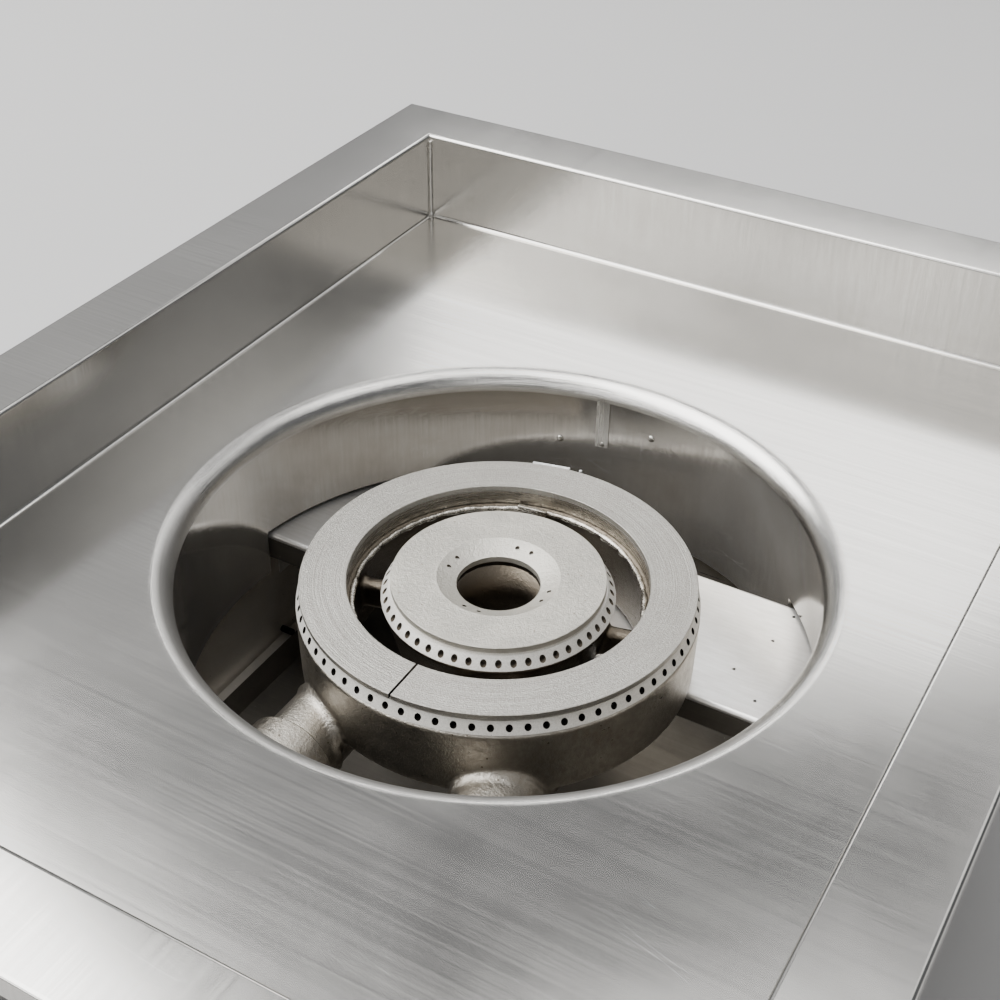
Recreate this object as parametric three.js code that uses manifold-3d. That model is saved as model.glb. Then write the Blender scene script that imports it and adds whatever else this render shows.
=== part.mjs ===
// Drop-in gas side burner: a deep steel cooking well with a rolled burner opening, a cast
// double-ring burner on a cross channel, its gas train, control panel and sliding drip tray.
// Millimetres, +Z up, X to the right, Y to the back. The origin is on the burner's axis,
// at the underside of the base pan.
import * as THREE from 'three';
import { mergeVertices } from 'three/addons/utils/BufferGeometryUtils.js';
import Module from 'manifold-3d';

const wasm = await Module();
wasm.setup();

const fullTurn = 360;

// Shared fits
const seatGap = 0.3;
const cutOverrun = 2;
const screwClearance = 0.3;

// Cooking well
const boxDepth = 206;
const wellDepth = 66;
const wellWidth = 506;
const wellLength = 670;
const flangeWidth = 46.2;
const flangeDrop = 12;
const traySheet = 1.5;
const trayBendRadius = 3.2;
const openingRadius = 181;
const rollRadius = 12;
const rollBand = 6;
const openingSides = 60;
const rollSteps = 5;
const rollBackSteps = 3;
const bendSteps = 2;

// Burner collar
const collarStep = 4.5;
const collarSheet = 1.2;
const collarBottomDrop = 110;
const collarTopDrop = 5.2;
const notchSideGap = 2.2;
const notchTopGap = 2.8;

// Box panels
const boxSideRoom = 12;
const boxRearRoom = 19;
const panelSheet = 1.2;
const panelFlange = 15;
const panSheet = 1.2;
const panUpturn = 14;
const ventSlotCount = 6;
const ventSlotWidth = 5;
const ventSlotLength = 46;
const ventSlotPitch = 14;
const ventFrontInset = 34;
const ventTopDrop = 40;

// Control panel
const frontSheet = 1.5;
const frontOverhang = 1;
const frontReturn = 10;
const knobSpacing = 114;
const controlDrop = 84;

// Drip tray and its runners
const dripSheet = 1;
const dripSideRoom = 7;
const dripFloorHeight = 5;
const dripRimHeight = 28.7;
const dripRimWidth = 5.4;
const dripRearRoom = 10;
const ledgeWidth = 5.6;
const runnerHeight = 12;
const dripFrontHeight = 32;
const dripFrontOverlap = 5;
const dripFrontLift = 2;
const handleSpan = 110;
const handleReach = 26;
const handleBarRadius = 4;
const handleBendRadius = 9;
const handleHeight = 18;
const handleSteps = 18;
const stopPinRadius = 2.25;
const stopPinReach = 9;
const stopPinRear = 38;
const stopPinHeadRadius = 4;
const stopPinHeadHeight = 2;

// Burner channel that crosses the box
const channelTopDrop = 80;
const channelFront = 24;
const channelRear = 129;
const channelLeg = 21;
const channelLip = 8;
const channelSheet = 1.2;
const channelTabWidth = 74;
const channelTabDrop = 46;
const channelScrewSpacing = 50;
const channelScrewDrop = 32;
const pilotHoleRadius = 1.3;
const pilotHoleInset = 42;
const pilotFrontInset = 14;

// Burner casting, machined bands and ports
const outerCapRadius = 113.3;
const outerCapWidth = 27;
const innerCapRoom = 23.2;
const outerCapTopDrop = 21;
const capThickness = 3.5;
const capLip = 3;
const capLipGap = 0.4;
const slitWidth = 1;
const grooveDepth = 1.4;
const grooveHeight = 1.4;
const bandHeight = 11;
const bandSplay = 2.4;
const castLedge = 1.7;
const innerLedge = 2.8;
const ringWall = 5;
const castFloor = 5;
const castDraft = 1;
const castChamfer = 3;
const portRadius = 1.7;
const portDrop = 30.2;
const portSides = 4;
const outerPortCount = 74;
const innerPortCount = 50;
const innerCapTopDrop = 20;
const innerTaper = 9;
const centreBoreDrop = 7.3;
const innerCapFace = 27.3;
const countersinkWidth = 11.7;
const centreWall = 4.2;
const flameHoleRadius = 1.3;
const flameHoleInset = 5.3;
const flameHoleHalfAngle = 8.7;
const quarterTurns = 4;
const spokeWidth = 10;
const spokeTopDrop = 44;
const spokeHeight = 18;
const spokeFirstAngle = 13;
const stubRadius = 22.5;
const stubBore = 18;
const stubReach = 24.7;
const innerTurnRoom = 11.9;
const innerStubAngle = -40;

// Mixer tubes, air shutters and orifices
const mixerRadius = 27.5;
const mixerOverlap = 12;
const mixerSocketGap = 0.6;
const mixerSocketDepth = 13;
const mixerEndWall = 3;
const windowInner = 10.5;
const windowOuter = 17;
const windowSpan = 62;
const windowCount = 3;
const windowSteps = 4;
const shutterSheet = 1.5;
const shutterRadius = 25;
const shutterTabWidth = 8;
const shutterTabReach = 9;
const spudTipRadius = 5;
const spudTipReach = 8;
const spudHexRadius = 8;
const spudHexLength = 12;
const spudBore = 1;
const spudFit = 0.1;

// Valves, manifold and inlet
const valveWidth = 24;
const valveHeight = 26;
const valveLength = 52;
const valveSetback = 18;
const outletRadius = 6;
const outletLength = 14;
const stemRadius = 4;
const stemFit = 0.15;
const stemDepth = 24;
const pushTravel = 3;
const washerRadius = 8;
const washerThickness = 1.6;
const nippleRadius = 7;
const pipeRadius = 10.65;
const pipeDrop = 34;
const pipeBore = 7.9;
const pipeOverhang = 47;
const pipeEndWall = 6;
const inletHexRadius = 13;
const inletHexLength = 12;
const inletNeckRadius = 10;
const inletBore = 6;
const inletReach = 24;
const inletHoleGap = 1.5;
const saddleWidth = 20;
const saddleHeight = 44;
const saddleSheet = 2;
const saddleLip = 8;
const leftSaddleOffset = 35;
const rightSaddleOffset = 65;

// Knobs and bezels
const knobSkirtRadius = 25;
const knobSkirtHeight = 6;
const knobRadius = 20;
const knobLength = 28;
const knobEdge = 2;
const knobHubDepth = 16;
const gripWidth = 7;
const gripHeight = 4;
const bezelRadius = 28;
const bezelBore = 9;
const bezelThickness = 2;
const panelHoleRadius = 6.5;

// Igniter
const igniterHousingRadius = 10;
const igniterHousingLength = 42;
const igniterNutRadius = 13;
const igniterNutHeight = 4;
const igniterButtonRadius = 7.5;
const igniterButtonFit = 0.3;
const igniterButtonReach = 9;
const igniterTravel = 4;
const igniterButtonDepth = 14;
const igniterAngle = 104;
const igniterRoom = 6;
const igniterStripWidth = 24;
const igniterFoot = 7;
const igniterTabDrop = 27;
const igniterTab = 5;
const igniterSheet = 1.2;
const igniterEarHeight = 20;
const igniterEarWidth = 14;
const igniterEarDepth = 10;
const ceramicRadius = 3.6;
const ceramicBelow = 14;
const ceramicAbove = 22;
const ceramicCollar = 4.8;
const ceramicCollarHeight = 3;
const pinRadius = 1.1;
const pinReach = 9;

// Fasteners
const screwRadius = 2;
const screwHeadRadius = 4;
const screwHeadHeight = 2.2;
const screwLength = 8;
const boltRadius = 3;
const boltHeadRadius = 5.5;
const boltHeadHeight = 4;
const boltDepth = 3.6;
const boltAngle = 50;
const panelScrewLift = 27.7;
const panelScrewInset = 22.2;

// Sides of round pieces, from the widest to the smallest
const wideSides = 28;
const roundSides = 24;
const tubeSides = 16;
const screwSides = 8;
const hexSides = 6;

// Places and sizes that follow from those above
const floorTop = boxDepth;
const flangeTop = floorTop + wellDepth;
const controlHeight = floorTop - controlDrop;
const channelTop = floorTop - channelTopDrop;
const collarBottom = floorTop - collarBottomDrop;
const outerCapTop = floorTop - outerCapTopDrop;
const innerCapTop = floorTop - innerCapTopDrop;
const castTop = outerCapTop - capThickness - seatGap;
const castBottom = channelTop + seatGap;
const bandBottom = castTop - bandHeight;
const castTopRadius = outerCapRadius - grooveDepth;
const castFootRadius = castTopRadius + bandSplay;
const castRawRadius = castFootRadius + castLedge;
const outerCapBore = outerCapRadius - outerCapWidth;
const innerCapRadius = outerCapBore - innerCapRoom;
const countersinkRadius = innerCapRadius - innerCapFace;
const centreBoreRadius = countersinkRadius - countersinkWidth;
const flameHoleCircle = countersinkRadius - flameHoleInset;
const ringMiddle = (outerCapRadius + outerCapBore) / 2;
const collarRadius = openingRadius + collarStep;
const halfBox = openingRadius + boxSideRoom;
const boxRear = openingRadius + boxRearRoom;
const dripHalfWidth = halfBox - dripSideRoom;
const dripRear = boxRear - dripRearRoom;
const frontBack = -(wellLength / 2 + traySheet + seatGap);
const frontFace = frontBack - frontSheet;
const boxFront = frontBack + seatGap;
const panelBottom = panSheet + seatGap;
const panelTop = floorTop - traySheet - seatGap;
const frontBottom = dripFrontLift + dripFrontHeight + seatGap;
const panelScrewLow = frontBottom + panelScrewLift;
const panelScrewHigh = panelTop - panelScrewInset;
const mixerX = knobSpacing / 2;
const stubEnd = outerCapRadius + stubReach;
const mixerStart = stubEnd - mixerOverlap;
const valveFront = boxFront + valveSetback;
const valveBack = valveFront + valveLength;
const spudFront = valveBack + outletLength + seatGap;
const spudHexBack = spudFront + spudHexLength;
const shutterFront = spudHexBack + seatGap;
const shutterBack = shutterFront + shutterSheet;
const mixerEnd = -shutterBack - seatGap;

function rad(degrees) {
  return THREE.MathUtils.degToRad(degrees);
}

function signedVolume(position, index) {
  const a = new THREE.Vector3();
  const b = new THREE.Vector3();
  const c = new THREE.Vector3();
  let sum = 0;
  for (let i = 0; i < index.length; i += 3) {
    a.fromBufferAttribute(position, index[i]);
    b.fromBufferAttribute(position, index[i + 1]);
    c.fromBufferAttribute(position, index[i + 2]);
    sum += a.dot(b.cross(c));
  }
  return sum;
}

// Turns a closed three.js geometry into a solid that can be joined and cut.
function solid(geometry) {
  const bare = geometry.clone();
  bare.deleteAttribute('normal');
  bare.deleteAttribute('uv');
  const merged = mergeVertices(bare);
  const source = merged.index.array;
  const kept = [];
  for (let i = 0; i < source.length; i += 3) {
    const [a, b, c] = [source[i], source[i + 1], source[i + 2]];
    if (a !== b && b !== c && c !== a) kept.push(a, b, c);
  }
  if (signedVolume(merged.attributes.position, kept) < 0) {
    for (let i = 0; i < kept.length; i += 3) [kept[i], kept[i + 1]] = [kept[i + 1], kept[i]];
  }
  const vertProperties = new Float32Array(merged.attributes.position.array);
  return new wasm.Manifold(new wasm.Mesh({ numProp: 3, vertProperties, triVerts: new Uint32Array(kept) }));
}

function geometryOf(body) {
  const mesh = body.getMesh();
  const geometry = new THREE.BufferGeometry();
  geometry.setAttribute('position', new THREE.BufferAttribute(new Float32Array(mesh.vertProperties), 3));
  geometry.setIndex(new THREE.BufferAttribute(new Uint32Array(mesh.triVerts), 1));
  geometry.computeVertexNormals();
  return geometry;
}

// A rectangular block between two corners.
function block(low, high) {
  const size = high.map((value, axis) => value - low[axis]);
  const geometry = new THREE.BoxGeometry(...size);
  geometry.translate(...high.map((value, axis) => (value + low[axis]) / 2));
  return solid(geometry);
}

// A round bar between two points.
function bar(from, to, radius, segments = tubeSides) {
  const start = new THREE.Vector3(...from);
  const end = new THREE.Vector3(...to);
  const geometry = new THREE.CylinderGeometry(radius, radius, start.distanceTo(end), segments);
  const along = end.clone().sub(start).normalize();
  geometry.applyQuaternion(new THREE.Quaternion().setFromUnitVectors(new THREE.Vector3(0, 1, 0), along));
  geometry.translate(...start.add(end).divideScalar(2).toArray());
  return solid(geometry);
}

function ball(centre, radius, segments = tubeSides) {
  const geometry = new THREE.SphereGeometry(radius, segments, segments / 2);
  geometry.translate(...centre);
  return solid(geometry);
}

// A turned shape about +Z from [radius, height] points; the outline closes on itself.
function turned(outline, segments) {
  const points = outline.map(([radius, height]) => new THREE.Vector2(radius, height));
  const onAxis = outline[0][0] === 0 && outline[outline.length - 1][0] === 0;
  if (!onAxis) points.push(points[0].clone());
  const geometry = new THREE.LatheGeometry(points, segments);
  geometry.rotateX(Math.PI / 2);
  return solid(geometry);
}

// The same, turned about +Y from a centre, as on the controls.
function turnedAlongY(outline, segments, centre) {
  const points = outline.map(([radius, along]) => new THREE.Vector2(radius, along));
  const onAxis = outline[0][0] === 0 && outline[outline.length - 1][0] === 0;
  if (!onAxis) points.push(points[0].clone());
  const geometry = new THREE.LatheGeometry(points, segments);
  geometry.translate(...centre);
  return solid(geometry);
}

function joined(bodies) {
  return bodies.reduce((sum, body) => sum.add(body));
}

// Points of an arc in a section, from one angle to another.
function arc(centreX, centreY, radius, fromDegrees, toDegrees, steps) {
  return Array.from({ length: steps + 1 }, (_, i) => {
    const angle = rad(fromDegrees + ((toDegrees - fromDegrees) * i) / steps);
    return [centreX + radius * Math.cos(angle), centreY + radius * Math.sin(angle)];
  });
}

function polar(radius, degrees) {
  return [radius * Math.cos(rad(degrees)), radius * Math.sin(rad(degrees))];
}

const part = new THREE.Group();
part.name = 'built_in_side_burner';

const finishes = {
  brushed: { color: 0xb9b6ae, roughness: 0.34, metalness: 1 },
  panel: { color: 0xaaa79f, roughness: 0.42, metalness: 1 },
  casting: { color: 0x8f8a80, roughness: 0.62, metalness: 0.9 },
  machined: { color: 0xbdb8ab, roughness: 0.45, metalness: 1 },
  brass: { color: 0xb08d4a, roughness: 0.35, metalness: 1 },
  plated: { color: 0x9ea1a3, roughness: 0.4, metalness: 1 },
  knob: { color: 0x24262a, roughness: 0.5, metalness: 0 },
  ceramic: { color: 0xece8de, roughness: 0.6, metalness: 0 },
};

function place(name, body, finish) {
  const mesh = new THREE.Mesh(geometryOf(body), new THREE.MeshStandardMaterial(finishes[finish]));
  mesh.name = name;
  part.add(mesh);
}

// Cooking well: a bent section carried round a rectangle with mitred corners.
function mitredRing(section, halfX, halfY) {
  const corners = [[1, 1], [-1, 1], [-1, -1], [1, -1]];
  const count = section.length;
  const positions = corners.flatMap(([sx, sy]) =>
    section.flatMap(([out, height]) => [sx * (halfX + out), sy * (halfY + out), height]));
  const index = [];
  corners.forEach((_, corner) => {
    const here = corner * count;
    const next = ((corner + 1) % corners.length) * count;
    for (let i = 0; i < count; i += 1) {
      const j = (i + 1) % count;
      index.push(here + i, here + j, next + i, here + j, next + j, next + i);
    }
  });
  const geometry = new THREE.BufferGeometry();
  geometry.setAttribute('position', new THREE.Float32BufferAttribute(positions, 3));
  geometry.setIndex(index);
  return solid(geometry);
}

function topTray() {
  const inner = trayBendRadius;
  const outer = trayBendRadius + traySheet;
  const edge = trayBendRadius - traySheet;
  const flangeBend = flangeTop - trayBendRadius;
  const visible = [
    [-rollBand - inner, floorTop],
    ...arc(-inner, floorTop + inner, inner, -90, 0, bendSteps),
    ...arc(inner, flangeBend, inner, 180, 90, bendSteps),
    ...arc(flangeWidth - inner, flangeBend, inner, 90, 0, bendSteps),
    [flangeWidth, flangeTop - flangeDrop],
  ];
  const hidden = [
    [-rollBand - inner, floorTop - traySheet],
    ...arc(-inner, floorTop + inner, outer, -90, 0, bendSteps),
    ...arc(inner, flangeBend, edge, 180, 90, bendSteps),
    ...arc(flangeWidth - inner, flangeBend, edge, 90, 0, bendSteps),
    [flangeWidth - traySheet, flangeTop - flangeDrop],
  ];
  const walls = mitredRing([...visible, ...hidden.reverse()], wellWidth / 2, wellLength / 2);

  const tangent = openingRadius + rollRadius;
  const halfX = wellWidth / 2 - trayBendRadius;
  const halfY = wellLength / 2 - trayBendRadius;
  const sheet = new THREE.Shape();
  sheet.moveTo(-halfX, -halfY);
  sheet.lineTo(halfX, -halfY);
  sheet.lineTo(halfX, halfY);
  sheet.lineTo(-halfX, halfY);
  const hole = new THREE.Path();
  hole.absarc(0, 0, tangent + rollBand / 2, 0, 2 * Math.PI, true);
  sheet.holes.push(hole);
  const floor = new THREE.ExtrudeGeometry(sheet, {
    depth: traySheet,
    bevelEnabled: false,
    curveSegments: openingSides,
  });
  floor.translate(0, 0, floorTop - traySheet);

  const roll = turned([
    [tangent + rollBand, floorTop],
    ...arc(tangent, floorTop - rollRadius, rollRadius, 90, 180, rollSteps),
    ...arc(tangent, floorTop - rollRadius, rollRadius - traySheet, 180, 90, rollBackSteps),
    [tangent + rollBand, floorTop - traySheet],
  ], openingSides);
  return joined([walls, solid(floor), roll]);
}
place('top_tray', topTray(), 'brushed');

// Collar: a cylinder under the roll, notched at both sides for the burner channel and
// at the front for the two mixer tubes.
function burnerCollar() {
  const top = floorTop - collarTopDrop;
  const shell = turned([
    [collarRadius, top],
    [collarRadius, collarBottom],
    [collarRadius + collarSheet, collarBottom],
    [collarRadius + collarSheet, top],
  ], openingSides);
  const outside = collarRadius + collarSheet + cutOverrun;
  const notch = block(
    [-outside, channelFront - notchSideGap, collarBottom - cutOverrun],
    [outside, channelRear + notchSideGap, channelTop + notchTopGap],
  );
  const tubeGap = mixerRadius + notchSideGap;
  const tubeNotches = [-mixerX, mixerX].map((x) => joined([
    bar([x, -outside, controlHeight], [x, -collarRadius / 2, controlHeight], tubeGap, roundSides),
    block([x - tubeGap, -outside, collarBottom - cutOverrun],
      [x + tubeGap, -collarRadius / 2, controlHeight]),
  ]));
  return shell.subtract(notch).subtract(joined(tubeNotches));
}
place('burner_collar', burnerCollar(), 'panel');

// Box panels
const screwHole = screwRadius + screwClearance;
const channelMiddle = (channelFront + channelRear) / 2;
const channelScrewPlaces = [-1, 1].map((side) => channelMiddle + (side * channelScrewSpacing) / 2);
const channelScrewHeight = channelTop - channelScrewDrop;
const flangeScrewX = halfBox + panelSheet + panelFlange / 2;
const stopPinHeight = dripRimHeight + seatGap + stopPinRadius;
const pipeHeight = controlHeight - pipeDrop;
const pipeY = boxFront + valveSetback + valveLength / 2;
const outside = halfBox + panelSheet;

function sidePanel(side) {
  const web = block([halfBox, boxFront, panelBottom], [outside, boxRear - seatGap, panelTop]);
  const topFlange = block(
    [halfBox, boxFront, panelTop - panelSheet],
    [outside + panelFlange, boxRear - seatGap, panelTop],
  );
  const flangeBottom = panSheet + panUpturn + seatGap;
  const frontFlange = block(
    [halfBox, boxFront, flangeBottom],
    [outside + panelFlange, boxFront + panelSheet, panelTop],
  );
  const rearFlange = block(
    [halfBox, boxRear - seatGap - panelSheet, flangeBottom],
    [outside + panelFlange, boxRear - seatGap, panelTop],
  );
  let panel = joined([web, topFlange, frontFlange, rearFlange]);
  const through = [halfBox - cutOverrun, outside + cutOverrun];
  for (const y of channelScrewPlaces) {
    const hole = bar([through[0], y, channelScrewHeight],
      [through[1], y, channelScrewHeight], screwHole, screwSides);
    panel = panel.subtract(hole);
  }
  const pinHole = stopPinRadius + screwClearance;
  panel = panel.subtract(
    bar([through[0], stopPinRear, stopPinHeight],
      [through[1], stopPinRear, stopPinHeight], pinHole, screwSides),
  );
  for (let i = 0; i < ventSlotCount; i += 1) {
    const y = boxFront + ventFrontInset + i * ventSlotPitch;
    const high = panelTop - ventTopDrop;
    panel = panel.subtract(
      block([through[0], y, high - ventSlotLength], [through[1], y + ventSlotWidth, high]),
    );
  }
  for (const z of [panelScrewLow, panelScrewHigh]) {
    for (const y of [boxFront, boxRear - seatGap]) {
      const from = [flangeScrewX, y - cutOverrun, z];
      panel = panel.subtract(bar(from, [flangeScrewX, y + cutOverrun, z], screwHole, screwSides));
    }
  }
  if (side > 0) {
    const hole = inletNeckRadius + inletHoleGap;
    return panel.subtract(bar([through[0], pipeY, pipeHeight], [through[1], pipeY, pipeHeight], hole));
  }
  return panel.mirror([1, 0, 0]);
}
place('left_side_panel', sidePanel(-1), 'panel');
place('right_side_panel', sidePanel(1), 'panel');

function rearPanel() {
  const half = outside + panelFlange;
  const web = block([-half, boxRear, panelBottom], [half, boxRear + panelSheet, panelTop]);
  const flange = block(
    [-half, boxRear, panelTop - panelSheet],
    [half, boxRear + panelSheet + panelFlange, panelTop],
  );
  let panel = web.add(flange);
  for (const x of [-flangeScrewX, flangeScrewX]) {
    for (const z of [panelScrewLow, panelScrewHigh]) {
      const to = boxRear + panelSheet + cutOverrun;
      panel = panel.subtract(bar([x, boxRear - cutOverrun, z], [x, to, z], screwHole, screwSides));
    }
  }
  return panel;
}
place('rear_panel', rearPanel(), 'panel');

function basePan() {
  const inner = outside + seatGap;
  const outer = inner + panSheet;
  const back = boxRear + panelSheet + seatGap;
  const half = outer + panelFlange;
  const floor = block([-outer, boxFront, 0], [outer, back + panSheet, panSheet]);
  const left = block([-outer, boxFront, 0], [-inner, boxRear - seatGap, panUpturn]);
  const right = block([inner, boxFront, 0], [outer, boxRear - seatGap, panUpturn]);
  const rearTab = block([-half, back, 0], [half, back + panSheet, panUpturn]);
  return joined([floor, left, right, rearTab]);
}
place('base_pan', basePan(), 'panel');

// Control panel: a flat front with short returns, hung on the well's front wall.
function controlPanel() {
  const half = wellWidth / 2 + frontOverhang;
  const bottom = frontBottom;
  const top = flangeTop - trayBendRadius - seatGap;
  const face = block([-half, frontFace, bottom], [half, frontBack, top]);
  const sideReturn = block(
    [half - frontSheet, frontFace, bottom],
    [half, frontBack + frontReturn, floorTop - trayBendRadius - traySheet - seatGap],
  );
  let panel = joined([face, sideReturn, sideReturn.mirror([1, 0, 0])]);
  for (const x of [-mixerX, mixerX]) {
    const to = frontBack + cutOverrun;
    panel = panel.subtract(
      bar([x, frontFace - cutOverrun, controlHeight], [x, to, controlHeight], panelHoleRadius),
    );
  }
  const igniterHole = igniterHousingRadius + screwClearance;
  panel = panel.subtract(
    bar([0, frontFace - cutOverrun, controlHeight], [0, frontBack + cutOverrun, controlHeight], igniterHole),
  );
  for (const x of [-flangeScrewX, flangeScrewX]) {
    for (const z of [panelScrewLow, panelScrewHigh]) {
      panel = panel.subtract(
        bar([x, frontFace - cutOverrun, z], [x, frontBack + cutOverrun, z], screwHole, screwSides),
      );
    }
  }
  return panel;
}
place('control_panel', controlPanel(), 'brushed');

// Drip tray runners, tray, front and handle
function trayRunner(side) {
  const ledgeTop = dripRimHeight - dripSheet - seatGap;
  const wall = halfBox - seatGap;
  const rear = dripRear;
  const leaf = block([wall - panelSheet, boxFront, ledgeTop - runnerHeight], [wall, rear, ledgeTop]);
  const ledge = block([wall - ledgeWidth, boxFront, ledgeTop - panelSheet], [wall, rear, ledgeTop]);
  const runner = leaf.add(ledge);
  return side > 0 ? runner : runner.mirror([1, 0, 0]);
}
place('left_tray_runner', trayRunner(-1), 'panel');
place('right_tray_runner', trayRunner(1), 'panel');

function dripTray() {
  const shell = block([-dripHalfWidth, boxFront, dripFloorHeight - dripSheet],
    [dripHalfWidth, dripRear, dripRimHeight]);
  const hollow = block(
    [-dripHalfWidth + dripSheet, boxFront + dripSheet, dripFloorHeight],
    [dripHalfWidth - dripSheet, dripRear - dripSheet, dripRimHeight + cutOverrun],
  );
  const rimBottom = dripRimHeight - dripSheet;
  const rim = block(
    [dripHalfWidth - dripSheet, boxFront, rimBottom],
    [dripHalfWidth + dripRimWidth, dripRear, dripRimHeight],
  );
  return joined([shell.subtract(hollow), rim, rim.mirror([1, 0, 0])]);
}
place('drip_tray', dripTray(), 'panel');

function dripTrayFront() {
  const half = halfBox + dripFrontOverlap;
  return block([-half, frontFace, dripFrontLift], [half, frontBack, dripFrontLift + dripFrontHeight]);
}
place('drip_tray_front', dripTrayFront(), 'brushed');

function dripTrayHandle() {
  const half = handleSpan / 2;
  const foot = frontFace - seatGap;
  const front = foot - handleReach;
  const bend = handleBendRadius;
  const route = new THREE.CurvePath();
  const point = (x, y) => new THREE.Vector3(x, y, handleHeight);
  const [leftBend, leftFront] = [point(-half, front + bend), point(-half + bend, front)];
  const [rightFront, rightBend] = [point(half - bend, front), point(half, front + bend)];
  route.add(new THREE.LineCurve3(point(-half, foot), leftBend));
  route.add(new THREE.QuadraticBezierCurve3(leftBend, point(-half, front), leftFront));
  route.add(new THREE.LineCurve3(leftFront, rightFront));
  route.add(new THREE.QuadraticBezierCurve3(rightFront, point(half, front), rightBend));
  route.add(new THREE.LineCurve3(rightBend, point(half, foot)));
  const section = new THREE.Shape();
  section.absarc(0, 0, handleBarRadius, 0, 2 * Math.PI);
  return solid(new THREE.ExtrudeGeometry(section, {
    steps: handleSteps,
    curveSegments: hexSides / 2,
    extrudePath: route,
  }));
}
place('drip_tray_handle', dripTrayHandle(), 'plated');

function stopPin(side) {
  const inside = halfBox - stopPinReach;
  const head = outside + seatGap;
  const buried = head + stopPinHeadHeight / 2;
  const shank = bar([inside, stopPinRear, stopPinHeight],
    [buried, stopPinRear, stopPinHeight], stopPinRadius, screwSides);
  const cap = bar([head, stopPinRear, stopPinHeight],
    [head + stopPinHeadHeight, stopPinRear, stopPinHeight], stopPinHeadRadius, screwSides);
  const pin = shank.add(cap);
  return side > 0 ? pin : pin.mirror([1, 0, 0]);
}
place('left_stop_pin', stopPin(-1), 'plated');
place('right_stop_pin', stopPin(1), 'plated');

// Burner channel: an inverted hat section with an end tab for each side panel
function burnerChannel() {
  const end = halfBox - seatGap;
  const legBottom = channelTop - channelLeg;
  const top = block([-end, channelFront, channelTop - channelSheet], [end, channelRear, channelTop]);
  const frontLeg = block([-end, channelFront, legBottom], [end, channelFront + channelSheet, channelTop]);
  const frontLip = block(
    [-end, channelFront, legBottom],
    [end, channelFront + channelLip, legBottom + channelSheet],
  );
  const rearLeg = block([-end, channelRear - channelSheet, legBottom], [end, channelRear, channelTop]);
  const rearLip = block([-end, channelRear - channelLip, legBottom],
    [end, channelRear, legBottom + channelSheet]);
  const halfTab = channelTabWidth / 2;
  const tab = block(
    [end - channelSheet, channelMiddle - halfTab, channelTop - channelTabDrop],
    [end, channelMiddle + halfTab, channelTop],
  );
  let body = joined([top, frontLeg, frontLip, rearLeg, rearLip, tab, tab.mirror([1, 0, 0])]);
  for (const y of channelScrewPlaces) {
    const reach = end + cutOverrun;
    const hole = bar([-reach, y, channelScrewHeight], [reach, y, channelScrewHeight], screwHole, screwSides);
    body = body.subtract(hole);
  }
  for (const side of [-1, 1]) {
    const [boltX, boltY] = polar(ringMiddle, 90 + side * (90 - boltAngle));
    const under = channelTop - channelSheet - cutOverrun;
    const over = channelTop + cutOverrun;
    const boltHole = boltRadius + screwClearance;
    body = body.subtract(bar([boltX, boltY, under], [boltX, boltY, over], boltHole, screwSides));
    const x = side * (end - pilotHoleInset);
    for (const y of [channelFront + pilotFrontInset, channelRear - pilotFrontInset]) {
      body = body.subtract(bar([x, y, under], [x, y, over], pilotHoleRadius, portSides));
    }
  }
  return body;
}
place('burner_channel', burnerChannel(), 'panel');

// Ports: short bores set square to a splayed band, all round it
function portCutters(count, radius, reach) {
  const splay = Math.atan2(bandSplay, bandHeight);
  const height = floorTop - portDrop;
  return Array.from({ length: count }, (_, i) => {
    const geometry = new THREE.CylinderGeometry(portRadius, portRadius, 2 * reach, portSides);
    geometry.rotateZ(-Math.PI / 2 + splay);
    geometry.translate(radius, height, 0);
    geometry.rotateX(Math.PI / 2);
    geometry.rotateZ(rad(-90 + ((i + 1 / 2) * fullTurn) / count));
    return solid(geometry);
  });
}

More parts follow.
